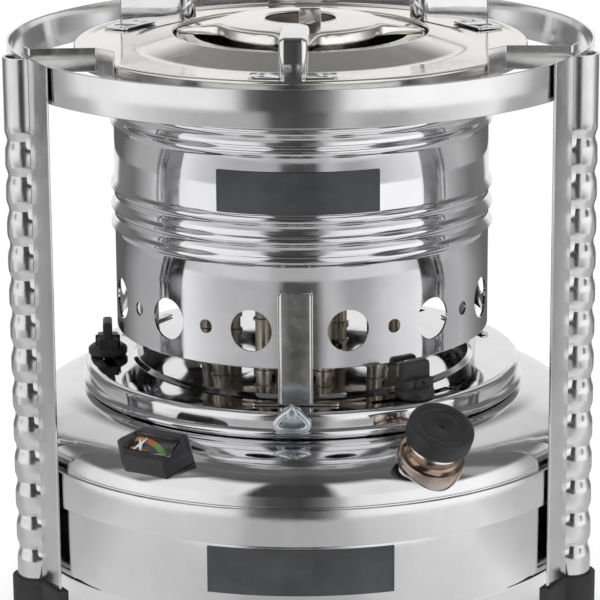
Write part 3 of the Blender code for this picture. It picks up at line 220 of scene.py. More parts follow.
def addRod(name, start, end, radius, sides=32):
    clearSelection()
    start, end = Vector(start), Vector(end)
    line = end - start
    turn = line.to_track_quat("Z", "Y").to_euler()
    bpy.ops.mesh.primitive_cylinder_add(
        vertices=sides, radius=radius, depth=line.length, location=(start + end) / 2, rotation=turn,
    )
    piece = bpy.context.object
    piece.name = name
    applyPlace()
    return piece


def joinPieces(pieces, name=None):
    clearSelection()
    for piece in pieces:
        piece.select_set(True)
    bpy.context.view_layer.objects.active = pieces[0]
    if len(pieces) > 1:
        bpy.ops.object.join()
    if name:
        pieces[0].name = name
        pieces[0].data.name = name
    return pieces[0]


def finishWith(piece, kind, **settings):
    activate(piece)
    modifier = piece.modifiers.new(kind.lower(), kind)
    for key, value in settings.items():
        setattr(modifier, key, value)
    bpy.ops.object.modifier_apply(modifier=modifier.name)


def combine(piece, others, operation="DIFFERENCE"):
    tool = joinPieces(others)
    finishWith(piece, "BOOLEAN", object=tool, operation=operation, solver="EXACT")
    dropPiece(tool)


def roundEdges(piece, width, segments=2, angle=40.0):
    finishWith(
        piece, "BEVEL", width=width, segments=segments, limit_method="ANGLE",
        angle_limit=math.radians(angle), use_clamp_overlap=True,
    )


def turnTo(piece, degrees):
    activate(piece)
    piece.matrix_world = Matrix.Rotation(math.radians(degrees), 4, "Z") @ piece.matrix_world
    applyPlace()
    return piece


def seatOn(piece, place):
    activate(piece)
    piece.matrix_world = place @ piece.matrix_world
    applyPlace()
    return piece


def copyOf(piece, name):
    activate(piece)
    bpy.ops.object.duplicate(linked=False)
    twin = bpy.context.object
    twin.name = name
    twin.data.name = name
    return twin


def dress(piece, finish, nodes, smooth=35.0, body="stove"):
    activate(piece)
    piece.location.y += axisY
    applyPlace()
    bpy.ops.object.shade_smooth_by_angle(angle=math.radians(smooth))
    piece.data.materials.clear()
    piece.data.materials.append(finish)
    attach(piece, body)
    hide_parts(nodes)
    return piece


def newFinish(name, colour, metallic=0.0, roughness=0.4, **sockets):
    finish = bpy.data.materials.new(name)
    finish.use_nodes = True
    shader = finish.node_tree.nodes["Principled BSDF"]
    shader.inputs["Base Color"].default_value = (*colour, 1.0)
    shader.inputs["Metallic"].default_value = metallic
    shader.inputs["Roughness"].default_value = roughness
    for key, value in sockets.items():
        shader.inputs[key].default_value = value
    return finish, finish.node_tree, shader


def feed(tree, value, node, socket):
    tree.links.new(value, node.inputs[socket])


def objectPlace(tree, place=None, stretch=(1, 1, 1), turn=(0, 0, 0)):
    source = tree.nodes.new("ShaderNodeTexCoord")
    mapping = tree.nodes.new("ShaderNodeMapping")
    mapping.vector_type = "TEXTURE" if place else "POINT"
    mapping.inputs["Scale"].default_value = stretch
    mapping.inputs["Rotation"].default_value = turn
    if place:
        mapping.inputs["Location"].default_value = place
    feed(tree, source.outputs["Object"], mapping, "Vector")
    return mapping.outputs["Vector"]


def cloudy(tree, vector, scale, detail=3.0, rough=0.5):
    noise = tree.nodes.new("ShaderNodeTexNoise")
    noise.inputs["Scale"].default_value = scale
    noise.inputs["Detail"].default_value = detail
    noise.inputs["Roughness"].default_value = rough
    feed(tree, vector, noise, "Vector")
    return noise.outputs["Fac"]


def ramp(tree, value, stops, mode="LINEAR"):
    node = tree.nodes.new("ShaderNodeValToRGB")
    node.color_ramp.interpolation = mode
    bar = node.color_ramp.elements
    bar.remove(bar[1])
    for number, (spot, colour) in enumerate(stops):
        element = bar.new(spot) if number else bar[0]
        element.position = spot
        element.color = (*colour, 1.0) if isinstance(colour, (list, tuple)) else (
            colour, colour, colour, 1.0,
        )
    feed(tree, value, node, "Fac")
    return node.outputs["Color"]


def spread(tree, value, low, high, start=0.3, end=0.7):
    node = tree.nodes.new("ShaderNodeMapRange")
    node.inputs["From Min"].default_value = start
    node.inputs["From Max"].default_value = end
    node.inputs["To Min"].default_value = low
    node.inputs["To Max"].default_value = high
    feed(tree, value, node, "Value")
    return node.outputs["Result"]


def calc(tree, operation, first, second=None, clamp=False):
    node = tree.nodes.new("ShaderNodeMath")
    node.operation = operation
    node.use_clamp = clamp
    for socket, value in zip(node.inputs, (first, second)):
        if value is None:
            continue
        if isinstance(value, (int, float)):
            socket.default_value = value
        else:
            tree.links.new(value, socket)
    return node.outputs["Value"]


def raised(tree, shader, heights):
    # bumps on top of each other: (height, strength, distance)
    normal = None
    for height, strength, distance in heights:
        bump = tree.nodes.new("ShaderNodeBump")
        bump.inputs["Strength"].default_value = strength
        bump.inputs["Distance"].default_value = distance
        feed(tree, height, bump, "Height")
        if normal is not None:
            feed(tree, normal, bump, "Normal")
        normal = bump.outputs["Normal"]
    feed(tree, normal, shader, "Normal")


def steelFinish(name, light, dark, shine, haze, wave, grain=0.02, grainStretch=(1, 1, 1)):
    # polished sheet: soft smudges in the shine, faint press waves and hairlines
    finish, tree, shader = newFinish(name, light, 1.0, shine)
    vector = objectPlace(tree)
    smudge = cloudy(tree, vector, 26.0, 4.0, 0.6)
    feed(tree, ramp(tree, smudge, [(0.3, dark), (0.62, light)]), shader, "Base Color")
    fine = cloudy(tree, vector, 140.0, 5.0, 0.65)
    mixed = calc(tree, "MULTIPLY", smudge, fine)
    feed(tree, spread(tree, mixed, shine, haze, 0.16, 0.42), shader, "Roughness")
    broad = cloudy(tree, vector, 17.0, 1.0, 0.4)
    stretched = objectPlace(tree, None, grainStretch)
    hair = cloudy(tree, stretched, 900.0, 2.0, 0.5)
    raised(tree, shader, [(broad, wave, 0.004), (hair, grain, 0.0002)])
    return finish


mirrorSteel = steelFinish("polishedSteel", (0.82, 0.82, 0.83), (0.74, 0.74, 0.755), 0.035, 0.12, 0.10)
bandSteel = steelFinish(
    "bandSteel", (0.83, 0.83, 0.835), (0.75, 0.75, 0.76), 0.06, 0.17, 0.10, 0.03, (0.2, 0.2, 6),
)
legSteel = steelFinish("pressedLegSteel", (0.80, 0.80, 0.80), (0.68, 0.68, 0.685), 0.12, 0.26, 0.16, 0.04)
tankSteel = steelFinish("tankSteel", (0.80, 0.80, 0.81), (0.72, 0.72, 0.73), 0.045, 0.14, 0.12)
creamSteel = steelFinish("creamPlateSteel", (0.90, 0.88, 0.84), (0.82, 0.80, 0.76), 0.08, 0.2, 0.10)
drumSteel = steelFinish("drumSteel", (0.83, 0.83, 0.845), (0.75, 0.75, 0.77), 0.05, 0.14, 0.14)
strapSteel = steelFinish(
    "strapSteel", (0.78, 0.775, 0.76), (0.66, 0.655, 0.64), 0.14, 0.28, 0.12, 0.05, (6, 6, 0.4),
)
sleeveSteel = steelFinish("sleeveSteel", (0.66, 0.63, 0.59), (0.5, 0.47, 0.43), 0.16, 0.34, 0.12)


def patchyFinish(name, colour, metallic, roughness, patch, stops, haze, bumps, **sockets):
    # one noise sets the colour and the haze; a bump with no noise of its own uses it too
    finish, tree, shader = newFinish(name, colour, metallic, roughness, **sockets)
    vector = objectPlace(tree)
    value = cloudy(tree, vector, *patch)
    feed(tree, ramp(tree, value, stops), shader, "Base Color")
    if haze:
        feed(tree, spread(tree, value, *haze), shader, "Roughness")
    heights = [(cloudy(tree, vector, *noise) if noise else value, strength, distance)
               for noise, strength, distance in bumps]
    raised(tree, shader, heights)
    return finish


blueZinc = patchyFinish(
    "blueZinc", (0.72, 0.78, 0.83), 1.0, 0.3, (210.0, 4.0, 0.6),
    [(0.3, (0.58, 0.65, 0.71)), (0.55, (0.76, 0.81, 0.85)), (0.72, (0.82, 0.85, 0.84))], (0.22, 0.4),
    [((1600.0, 2.0), 0.12, 0.0002)],
)
dullTube = patchyFinish(
    "dullTube", (0.60, 0.56, 0.48), 1.0, 0.34, (70.0, 5.0, 0.65),
    [(0.3, (0.34, 0.29, 0.22)), (0.52, (0.60, 0.55, 0.46)), (0.72, (0.72, 0.69, 0.62))], (0.24, 0.44),
    [((700.0, 3.0), 0.1, 0.0003)],
)
corkFloat = patchyFinish(
    "corkFloat", (0.55, 0.38, 0.22), 0.0, 0.85, (420.0, 5.0, 0.7),
    [(0.32, (0.22, 0.13, 0.06)), (0.45, (0.52, 0.35, 0.19)), (0.7, (0.68, 0.49, 0.30))], None,
    [(None, 0.4, 0.0006)],
)


def plasticFinish(name, colour, edge, roughLow, roughHigh, grain):
    # moulded plastic, rubber or paint: a fine grain with dust that dulls it in patches
    sockets = {"Specular IOR Level": 0.42}
    bumps = [((60.0, 2.0, 0.5), 0.08, 0.001), ((1900.0, 2.0, 0.6), grain, 0.0002)]
    return patchyFinish(
        name, colour, 0.0, roughLow, (55.0, 5.0, 0.65), [(0.35, colour), (0.75, edge)],
        (roughLow, roughHigh), bumps, **sockets,
    )


blackPlastic = plasticFinish("blackPlastic", (0.014, 0.014, 0.015), (0.03, 0.03, 0.032), 0.36, 0.52, 0.18)
blackRubber = plasticFinish("blackRubber", (0.022, 0.022, 0.023), (0.055, 0.054, 0.052), 0.6, 0.8, 0.35)
gaugeBlack = plasticFinish("gaugeBlack", (0.018, 0.018, 0.02), (0.034, 0.034, 0.037), 0.28, 0.44, 0.16)
plateBlack = plasticFinish("platePaint", (0.045, 0.047, 0.052), (0.075, 0.078, 0.084), 0.34, 0.5, 0.12)
pointerWhite = plasticFinish("pointerWhite", (0.80, 0.80, 0.79), (0.88, 0.88, 0.87), 0.35, 0.5, 0.1)


def cottonFinish():
    # plaited cotton: two slanting sets of strands and stray fibres
    finish, tree, shader = newFinish("cottonWick", (0.80, 0.75, 0.64), 0.0, 0.9)
    shader.inputs["Sheen Weight"].default_value = 0.3
    vector = objectPlace(tree)
    strands = []
    for slant in (1.0, -1.0):
        turned = objectPlace(tree, None, (1, 1, 1), (0, 0.6 * slant, 0))
        wave = tree.nodes.new("ShaderNodeTexWave")
        wave.bands_direction = "Z"
        wave.inputs["Scale"].default_value = 320.0
        wave.inputs["Distortion"].default_value = 1.5
        wave.inputs["Detail"].default_value = 2.0
        feed(tree, turned, wave, "Vector")
        strands.append(wave.outputs["Fac"])
    plait = calc(tree, "MAXIMUM", strands[0], strands[1])
    soot = cloudy(tree, vector, 90.0, 4.0)
    mixed = calc(tree, "MULTIPLY", plait, soot)
    stops = [(0.1, (0.42, 0.37, 0.28)), (0.35, (0.72, 0.66, 0.54)), (0.6, (0.86, 0.82, 0.72))]
    feed(tree, ramp(tree, mixed, stops), shader, "Base Color")
    fibre = cloudy(tree, vector, 2200.0, 3.0)
    raised(tree, shader, [(plait, 0.6, 0.0006), (fibre, 0.3, 0.0002)])
    return finish


cottonWick = cottonFinish()


def windowFinish():
    finish, tree, shader = newFinish("clearWindow", (0.93, 0.96, 0.95), 0.0, 0.04)
    shader.inputs["Transmission Weight"].default_value = 1.0
    shader.inputs["IOR"].default_value = 1.2
    vector = objectPlace(tree)
    smear = cloudy(tree, vector, 160.0, 4.0)
    feed(tree, spread(tree, smear, 0.02, 0.1), shader, "Roughness")
    raised(tree, shader, [(cloudy(tree, vector, 90.0, 1.0), 0.05, 0.0005)])
    return finish


clearWindow = windowFinish()
print("finishes ready")


hoop = {
    "outside": 0.145, "thick": 0.0013, "height": 0.018, "upperTop": 0.278, "lowerTop": 0.079,
    "edge": 0.0005,
}


def makeHoop(name, top):
    inside = hoop["outside"] - hoop["thick"]
    low = top - hoop["height"]
    corners = [(hoop["outside"], low), (hoop["outside"], top), (inside, top), (inside, low)]
    return spinSection(name, softCorners(corners, hoop["edge"], 3), 288)


for side in ("upper", "lower"):
    dress(makeHoop(side + "Hoop", hoop[side + "Top"]), bandSteel, side + "_ring")

leg = {
    "flangeEdge": 0.0152, "ridge": -0.0129, "ridgeRadius": 0.0096, "thick": 0.0014, "base": 0.1453,
    "low": 0.0043, "top": 0.279, "dents": 13, "lowestDent": 0.0336, "pitch": 0.0171, "depth": 0.0017,
    "lean": 0.6, "sharp": 3.2, "easeOut": 0.0003, "easeUp": 0.0004, "filletOut": 0.0028,
    "filletIn": 0.0008, "dentFrom": 0.0022,
    "sides": {"left": (210.0, 1.0), "right": (330.0, -1.0), "rear": (90.0, 1.0)},
}


def legPlace(side):
    degrees, hand = leg["sides"][side]
    outward = around(1.0, degrees)
    along = Vector((-outward.y, outward.x, 0.0)) * hand
    place = Matrix((along, outward, Vector((0.0, 0.0, 1.0)))).transposed().to_4x4()
    place.translation = outward * leg["base"]
    return place


def legOutline(spare=0.0):
    centre = (leg["ridge"], 0.0)
    reach = leg["ridgeRadius"] + spare
    lean = math.degrees(math.asin((leg["thick"] + spare) / reach))
    return centre, reach, lean


def makeLeg():
    centre, reach, lean = legOutline()
    edge = leg["flangeEdge"]
    thick = leg["thick"]
    outer = arcPoints(centre, reach, lean, 180.0, 18)
    inner = arcPoints(centre, reach - thick, 180.0, 0.0, 16)
    easeOut, easeUp = leg["easeOut"], leg["easeUp"]
    outline = [(edge - easeOut, 0.0), (edge, easeUp), (edge, thick - easeUp), (edge - easeOut, thick)]
    ridgeEdge = centre[0] + reach
    outline += [(ridgeEdge + leg["filletOut"], thick), (ridgeEdge + leg["filletIn"], thick + easeUp)]
    outline += outer + inner
    outline[-1] = (centre[0] + reach - thick, 0.0)
    steps = 10
    levels = [leg["low"], leg["lowestDent"] - leg["pitch"] / 2]
    for dent in range(leg["dents"]):
        start = leg["lowestDent"] + leg["pitch"] * (dent - 0.5)
        levels += [start + leg["pitch"] * (step + 1) / steps for step in range(steps)]
    levels.append(leg["top"])
    piece = drawLine("legTemplate", [(x, y, levels[0]) for x, y in outline], True)
    bpy.ops.mesh.select_all(action="SELECT")
    bpy.ops.mesh.edge_face_add()
    bpy.ops.mesh.select_all(action="SELECT")
    was = 1.0
    for before, level in zip(levels, levels[1:]):
        bpy.ops.mesh.extrude_region_move(TRANSFORM_OT_translate={"value": (0, 0, level - before)})
        share = (level - leg["lowestDent"]) / leg["pitch"]
        inDents = -0.5 <= share <= leg["dents"] - 0.5
        wave = (0.5 + 0.5 * math.cos(2 * math.pi * share)) ** leg["sharp"] if inDents else 0.0
        now = 1.0 - wave * leg["depth"] / leg["ridgeRadius"]  # pressed in from the groove's side
        factor = now / was
        if abs(factor - 1.0) > 1e-6:
            pick(piece, lambda vert: abs(vert.co.z - level) < 1e-6 and vert.co.y > leg["dentFrom"])
            bpy.ops.transform.resize(
                value=(factor, factor, 1.0),
                center_override=(centre[0] - leg["lean"] * reach, 0.0, level),
            )
            pick(piece, lambda face: abs(face.calc_center_median().z - level) < 1e-6
                 and abs(face.normal.z) > 0.9, "FACE")
        was = now
    closeMesh(0.000001)
    return piece


foot = {"wall": 0.0026, "height": 0.0186, "floor": 0.004, "clear": 0.0003, "edge": 0.0007}


def shoeOutline(spare, steps):
    centre, reach, lean = legOutline(spare)
    right = leg["flangeEdge"] + spare
    ridge = arcPoints(centre, reach, lean, 180.0, steps)
    return [(right, -spare), (right, leg["thick"] + spare), *ridge, (centre[0] - reach, -spare)]


def makeFoot():
    steps = 14
    outline = shoeOutline(foot["wall"], steps)
    radii = [0.0012, 0.0016] + [0.0] * (steps + 1) + [0.0012]
    piece = raiseOutline("footTemplate", softCorners(outline, radii, 4), 0.0, foot["height"])
    openMesh(piece)
    pick(piece, lambda face: face.calc_center_median().z > foot["height"] - 0.0001, "FACE")
    bpy.ops.mesh.inset(thickness=foot["wall"] - foot["clear"], depth=0.0)
    bpy.ops.mesh.extrude_region_move(
        TRANSFORM_OT_translate={"value": (0, 0, foot["floor"] - foot["height"])},
    )
    closeMesh(fineMerge)
    roundEdges(piece, foot["edge"], 3, 60.0)
    return piece


bracket = {
    "thick": 0.0012, "top": 0.2825, "low": 0.271, "ringLine": 0.14274, "skirtLine": 0.1129,
    "bendLine": 0.1141, "turns": (-8.2, -4.6, 1.6, 8.6), "edge": 0.0003,
}


def makeBracket():
    # drawn for the left leg at azimuth 0, then turned
    radii = (bracket["ringLine"], bracket["ringLine"], bracket["bendLine"], bracket["skirtLine"])
    line = [around(radius, turn).to_2d() for radius, turn in zip(radii, bracket["turns"])]
    line = softCorners([tuple(spot) for spot in line], 0.0012, 4, closed=False)
    half = bracket["thick"] / 2
    outline = besideLine(line, half) + besideLine(line, -half)[::-1]
    piece = raiseOutline("bracketTemplate", outline, bracket["low"], bracket["top"])
    roundEdges(piece, bracket["edge"], 2, 60.0)
    return piece


legTemplate = makeLeg()
footTemplate = makeFoot()
bracketTemplate = makeBracket()
for side, (degrees, hand) in leg["sides"].items():
    for template, finish, slot, word in (
        (legTemplate, legSteel, "polished_steel", "leg"),
        (footTemplate, blackRubber, "black_rubber", "foot"),
    ):
        piece = copyOf(template, word + side.capitalize())
        seatOn(piece, legPlace(side))
        openMesh(piece)
        closeMesh(fineMerge)
        dress(piece, finish, word + "_" + side, 30.0)
    piece = copyOf(bracketTemplate, "bracket" + side.capitalize())
    activate(piece)
    if hand < 0:
        piece.scale = (1.0, -1.0, 1.0)
        applyPlace()
        openMesh(piece)
        closeMesh(fineMerge)
    turnTo(piece, degrees)
    dress(piece, strapSteel, "bracket_" + side)
for template in (legTemplate, footTemplate, bracketTemplate):
    dropPiece(template)
print("stand made")


tank = {
    "radius": 0.1434, "wall": 0.0009, "bottom": 0.022, "corner": 0.006, "seam": 0.0795, "flat": 0.105,
    "top": 0.1023, "domeFoot": 0.0798, "rise": 0.0225, "run": 0.0384,
}
wick = {
    "ring": 0.048, "radius": 0.0029, "low": 0.03, "top": 0.178, "turn": -23.5, "count": 10,
    "hole": 0.0043,
}


def wickSpot(number, height):
    return around(wick["ring"], wick["turn"] + 270.0 + 360.0 * number / wick["count"], height)


def domeHeight(radius):
    share = max(0.0, min(1.0, (radius - tank["flat"]) / tank["run"]))
    return tank["domeFoot"] + tank["rise"] * math.sqrt(max(0.0, 1.0 - share * share))


def makeTankBody():
    radius, bottom = tank["radius"], tank["bottom"]
    outer = [(0.0, bottom + 0.0016), (0.124, bottom + 0.0016), (0.128, bottom)]
    outer = softCorners(outer, 0.003, 3, closed=False)
    outer += arcPoints((radius - tank["corner"], bottom + tank["corner"]), tank["corner"], -90.0, 0.0, 8)
    outer += [(radius, tank["seam"] - 0.0006), (radius - 0.0002, tank["seam"])]
    inner = besideLine(outer, tank["wall"])
    inner[0] = (0.0, inner[0][1])
    inner[-1] = (radius - tank["wall"], tank["seam"])
    return spinSection("tankBody", outer + inner[::-1], 256, False)


def makeTankTop():
    radius = tank["radius"]
    outer = [(0.0, tank["top"]), (0.03, tank["top"]), (0.08, tank["top"])]
    for step in range(29):
        turn = math.radians(90.0 * step / 28)
        outer.append(
            (
                tank["flat"] + tank["run"] * math.sin(turn),
                tank["domeFoot"] + tank["rise"] * math.cos(turn),
            ),
        )
    inner = [(max(0.0, spot[0] - (0.0 if i < 3 else tank["wall"] * (i - 2) / 29)),
              spot[1] - (tank["wall"] if i < 26 else tank["wall"] * (31 - i) / 6)) for i,
              spot in enumerate(outer)]
    outer[-1] = (radius, tank["domeFoot"])
    inner[-1] = (radius - tank["wall"], tank["domeFoot"])
    piece = spinSection("tankTop", outer + inner[::-1], 256, False)
    holes = [addRod("hole", wickSpot(i, 0.098), wickSpot(i, 0.106), wick["hole"],
        24) for i in range(wick["count"])]
    combine(piece, holes)
    return piece


dress(makeTankBody(), tankSteel, "tank_body")
dress(makeTankTop(), tankSteel, "tank_top", 30.0)
print("tank made")


stage = {
    "radius": 0.1094, "top": 0.1155, "wall": 0.001, "corner": 0.003, "foot": 0.1026, "bead": 0.0021,
    "beadHeight": 0.0026, "airHole": 0.02, "knobRing": 0.0985, "slotHalf": 0.0026, "slotTurn": 13.5,
    "knobs": (183.0, 303.0, 63.0), "stepFoot": 0.0860, "stepTop": 0.0840, "stepHeight": 0.0020,
}


def sectorOutline(inside, outside, start, end, steps=12):
    return arcPoints((0, 0), outside, start, end, steps) + arcPoints((0, 0), inside, end, start, steps)


def makeStage():
    radius, top, wall, low = stage["radius"], stage["top"], stage["wall"], stage["foot"]
    height = stage["beadHeight"]
    bead = [(radius + stage["bead"] * math.sin(math.pi * step / 10), low + 2 * height * (1 - step / 10))
            for step in range(11)]
    step, foot, raisedTop = stage["stepTop"], stage["stepFoot"], top + stage["stepHeight"]
    outer = softCorners(
        [(stage["airHole"], raisedTop), (step, raisedTop), (foot, top), (0.094, top)],
        [0, 0.0006, 0.0006, 0], 5, closed=False,
    )
    outer += arcPoints((radius - stage["corner"], top - stage["corner"]), stage["corner"], 90.0, 0.0, 8)
    outer += [(radius, low + 2 * height + 0.0008)] + bead
    inner = [(radius - wall, low), (radius - wall, top - stage["corner"])]
    inner += arcPoints(
        (radius - stage["corner"], top - stage["corner"]), stage["corner"] - wall, 0.0, 90.0, 5,
    )[1:]
    inner += softCorners(
        [
            (0.094, top - wall), (foot - wall, top - wall), (step - wall, raisedTop - wall),
            (stage["airHole"], raisedTop - wall),
        ],
        [0, 0.0004, 0.0004, 0], 4, closed=False,
    )
    piece = spinSection("burnerStage", outer + inner, 256)
    tools = [addRod("hole", wickSpot(i, top - 0.003), wickSpot(i, top + 0.005), wick["hole"],
        24) for i in range(wick["count"])]
    for degrees in stage["knobs"]:
        middle, half, reach = stage["knobRing"], stage["slotHalf"], stage["slotTurn"]
        outline = sectorOutline(middle - half, middle + half, degrees - reach, degrees + reach)
        tools.append(raiseOutline("slot", outline, top - 0.003, top + 0.003))
    combine(piece, tools)
    return piece


dress(makeStage(), mirrorSteel, "burner_stage")

drum = {
    "radius": 0.0934, "wall": 0.001, "low": 0.1325, "top": 0.2733, "beadProud": 0.0018,
    "beadHalf": 0.0034, "beads": (0.1854, 0.1951, 0.2053, 0.238, 0.2475), "ventHeight": 0.1509,
    "bigVent": 0.0102, "smallVent": 0.0034, "cut": 0.004, "plainTo": 0.17, "plainFrom": 0.262,
    "ventPitch": 28.9, "vents": 12, "turn": 269.2,
}


def makeDrum():
    radius = drum["radius"]
    outer = [(radius - 0.0003, drum["low"]), (radius, drum["low"] + 0.0004), (radius, drum["low"] + 0.0022)]
    outer += [(radius, drum["plainTo"])]
    for level in drum["beads"]:
        for step in range(11):
            share = step / 10
            bulge = (0.5 - 0.5 * math.cos(2 * math.pi * share)) ** 0.8
            height = level - drum["beadHalf"] + 2 * drum["beadHalf"] * share
            outer.append((radius + drum["beadProud"] * bulge, height))
    outer += [(radius, drum["plainFrom"]), (radius, drum["top"])]
    inner = [(spot[0] - drum["wall"], spot[1]) for spot in outer]
    inner[0] = (radius - drum["wall"], drum["low"])
    piece = spinSection("burnerDrum", outer + inner[::-1], 240)
    near, far = radius - drum["cut"], radius + drum["cut"]
    tools = []
    for vent in range(drum["vents"]):
        degrees = drum["turn"] + drum["ventPitch"] * (vent + 0.5 - drum["vents"] / 2)
        tools.append(
            addRod(
                "vent", around(near, degrees, drum["ventHeight"]),
                around(far, degrees, drum["ventHeight"]), drum["bigVent"], 64,
            ),
        )
        if vent < drum["vents"] - 1 and vent != drum["vents"] // 2 - 1:
            degrees += drum["ventPitch"] / 2
            tools.append(
                addRod(
                    "vent", around(near, degrees, drum["ventHeight"]),
                    around(far, degrees, drum["ventHeight"]), drum["smallVent"], 32,
                ),
            )
    combine(piece, tools)
    return piece


dress(makeDrum(), drumSteel, "burner_drum")

strap = {
    "width": 0.0166, "sheet": 0.001, "face": 0.0937, "lip": 0.0032, "low": 0.1158, "top": 0.17,
    "foot": 0.0125, "turns": {"front": 268.0, "right": 28.0, "left": 148.0}, "edge": 0.00028,
    "radii": (0.0007, 0.0007, 0.0003, 0.0003, 0.0006, 0.0006, 0.0003, 0.0003),
    "footRadii": (0.0004, 0.0004, 0.0012, 0.0012),
}


def makeStrap():
    half, thin, face = strap["width"] / 2, strap["sheet"], strap["face"]
    back = face + thin
    lip = back + strap["lip"]
    outline = [
        (-half, face), (half, face), (half, lip), (half - thin, lip), (half - thin, back),
        (-half + thin, back), (-half + thin, lip), (-half, lip),
    ]
    piece = easedSlab(
        "strapTemplate", outline, strap["radii"], 3, strap["low"], strap["top"], strap["edge"],
    )
    reach = half + strap["foot"]
    footLine = [(-reach, face), (reach, face), (reach, lip), (-reach, lip)]
    base = easedSlab(
        "strapFoot", footLine, strap["footRadii"], 3, strap["low"], strap["low"] + thin, strap["edge"],
    )
    combine(piece, [base], "UNION")
    return piece


strapTemplate = makeStrap()
for side, degrees in strap["turns"].items():
    piece = turnTo(copyOf(strapTemplate, "drumStrap" + side.capitalize()), degrees - 90.0)
    dress(piece, strapSteel, "drum_strap_" + side)
dropPiece(strapTemplate)

pull = {
    "turn": 267.4, "near": 0.1097, "far": 0.1109, "width": 0.009, "low": 0.1081, "top": 0.1192,
    "pinHeight": 0.1166, "pinRadius": 0.0016, "pinLength": 0.0052, "headRadius": 0.0026,
    "wire": 0.0018, "lugRadii": (0.0006, 0.0006, 0.003, 0.003), "lugEase": 0.00025, "cross": 0.0012,
    "plane": 0.1135,
}


def makeLug():
    half = pull["width"] / 2
    outline = [(-half, pull["low"]), (half, pull["low"]), (half, pull["top"]), (-half, pull["top"])]
    lug = easedSlab("pullLug", outline, pull["lugRadii"], 6, -pull["far"], -pull["near"], pull["lugEase"])
    setDown(lug, tilt=math.pi / 2)
    section = [(0.0, 0.0), (pull["pinRadius"], 0.0), (pull["pinRadius"], pull["pinLength"] - 0.0004)]
    head = softCorners(
        [
            (pull["pinRadius"], pull["pinLength"] - 0.0005),
            (pull["headRadius"], pull["pinLength"] - 0.0005),
            (pull["headRadius"], pull["pinLength"] + 0.0001), (0.0, pull["pinLength"] + 0.0006),
        ],
        0.0004, 4, closed=False,
    )
    pin = spinSection("pullPin", section + head[1:], 40, False)
    setDown(pin, (0.0, pull["far"] - 0.0002, pull["pinHeight"]), -math.pi / 2)
    return joinPieces([lug, pin], "pullLug")


dress(turnTo(makeLug(), pull["turn"] - 90.0), blueZinc, "pull_lug")


pullRoute = [
    (0.0016, 0.1199), (-0.0018, 0.1178), (-0.0056, 0.1147), (-0.008, 0.1118), (-0.0074, 0.1096),
    (-0.0044, 0.1082), (0.0, 0.1077), (0.0044, 0.1082), (0.0074, 0.1096), (0.008, 0.1118),
    (0.0056, 0.1147), (0.0018, 0.1178), (-0.0016, 0.1199),
]


def makePull():
    # a wire bent to an onion shape whose ends cross at the top, one in front of the other
    count = len(pullRoute) - 1
    points = []
    for number, (across, height) in enumerate(pullRoute):
        share = abs(2.0 * number / count - 1.0) ** 4
        side = 1.0 if number * 2 > count else -1.0
        points.append((across, pull["plane"] + side * share * pull["cross"], height))
    piece = drawLine("ringPull", points)
    bpy.ops.object.mode_set(mode="OBJECT")
    activate(piece)
    bpy.ops.object.convert(target="CURVE")
    piece = bpy.context.object
    piece.data.bevel_depth = pull["wire"]
    piece.data.bevel_resolution = 6
    piece.data.use_fill_caps = True
    bpy.ops.object.convert(target="MESH")
    piece = bpy.context.object
    piece.name = "ringPull"
    openMesh(piece)
    closeMesh(0.000001)
    finishWith(piece, "SUBSURF", levels=2, render_levels=2)
    return piece


dress(
    turnTo(makePull(), pull["turn"] - 90.0), blueZinc, "ring_pull", 60.0, body="pull_body",
)
print("burner body made")


tube = {
    "radius": 0.004, "bore": 0.0033, "low": 0.097, "top": 0.175, "collar": 0.005, "ease": 0.0003,
    "rim": 0.0002, "press": 0.00002,
    "rings": ((0.1178, 0.0011), (0.1262, 0.0008), (0.1445, 0.0005), (0.1618, 0.0009), (0.1655, 0.0007)),
}
gallery = {"inside": 0.033, "outside": 0.064, "low": 0.163, "top": 0.1642}


def makeTubes():
    corners = [
        (gallery["outside"], gallery["low"]), (gallery["outside"], gallery["top"]),
        (gallery["inside"], gallery["top"]), (gallery["inside"], gallery["low"]),
    ]
    plate = spinSection("wickTubes", softCorners(corners, 0.0003, 2), 160)
    spare = tube["radius"] - tube["press"]
    holes = [addRod("hole", wickSpot(i, 0.16), wickSpot(i, 0.167), spare, 32) for i in range(wick["count"])]
    combine(plate, holes)
    bore, wall, ease, collar = tube["bore"], tube["radius"], tube["ease"], tube["collar"]
    section = [(bore, tube["low"]), (wall, tube["low"])]
    for level, half in tube["rings"]:
        low, high = level - half, level + half
        section += [(wall, level - half - ease), (collar, low), (collar, high), (wall, level + half + ease)]
    section += [(wall, tube["top"] - ease), (wall - tube["rim"], tube["top"]), (bore, tube["top"])]
    template = spinSection("tubeTemplate", section, 32)
    parts = [plate]
    for number in range(wick["count"]):
        parts.append(setDown(copyOf(template, "tube"), wickSpot(number, 0.0)))
    dropPiece(template)
    return joinPieces(parts, "wickTubes")


dress(makeTubes(), dullTube, "wick_tubes")


def makeWick():
    radius, low, top = wick["radius"], wick["low"], wick["top"]
    section = [(0.0, low), (radius - 0.0004, low), (radius, low + 0.0005)]
    section += [(radius, low + (top - low) * share) for share in (0.2, 0.4, 0.6, 0.8)]
    section += [
        (radius, top - 0.0012), (radius - 0.0003, top - 0.0005), (radius - 0.001, top - 0.0001),
        (0.0, top),
    ]
    return spinSection("wickTemplate", section, 28, False)


wickTemplate = makeWick()
for number in range(wick["count"]):
    piece = copyOf(wickTemplate, "wick%02d" % (number + 1))
    piece.location = wickSpot(number, 0.0)
    dress(piece, cottonWick, "wick_%02d" % (number + 1), 50.0, body="wick_body")
dropPiece(wickTemplate)

sleeve = {
    "outside": 0.0615, "inside": 0.037, "wall": 0.001, "low": 0.1645, "outsideTop": 0.279,
    "lip": 0.053, "cut": 0.003, "vent": 0.003, "vents": 10, "rows": (0.1832, 0.2278),
}


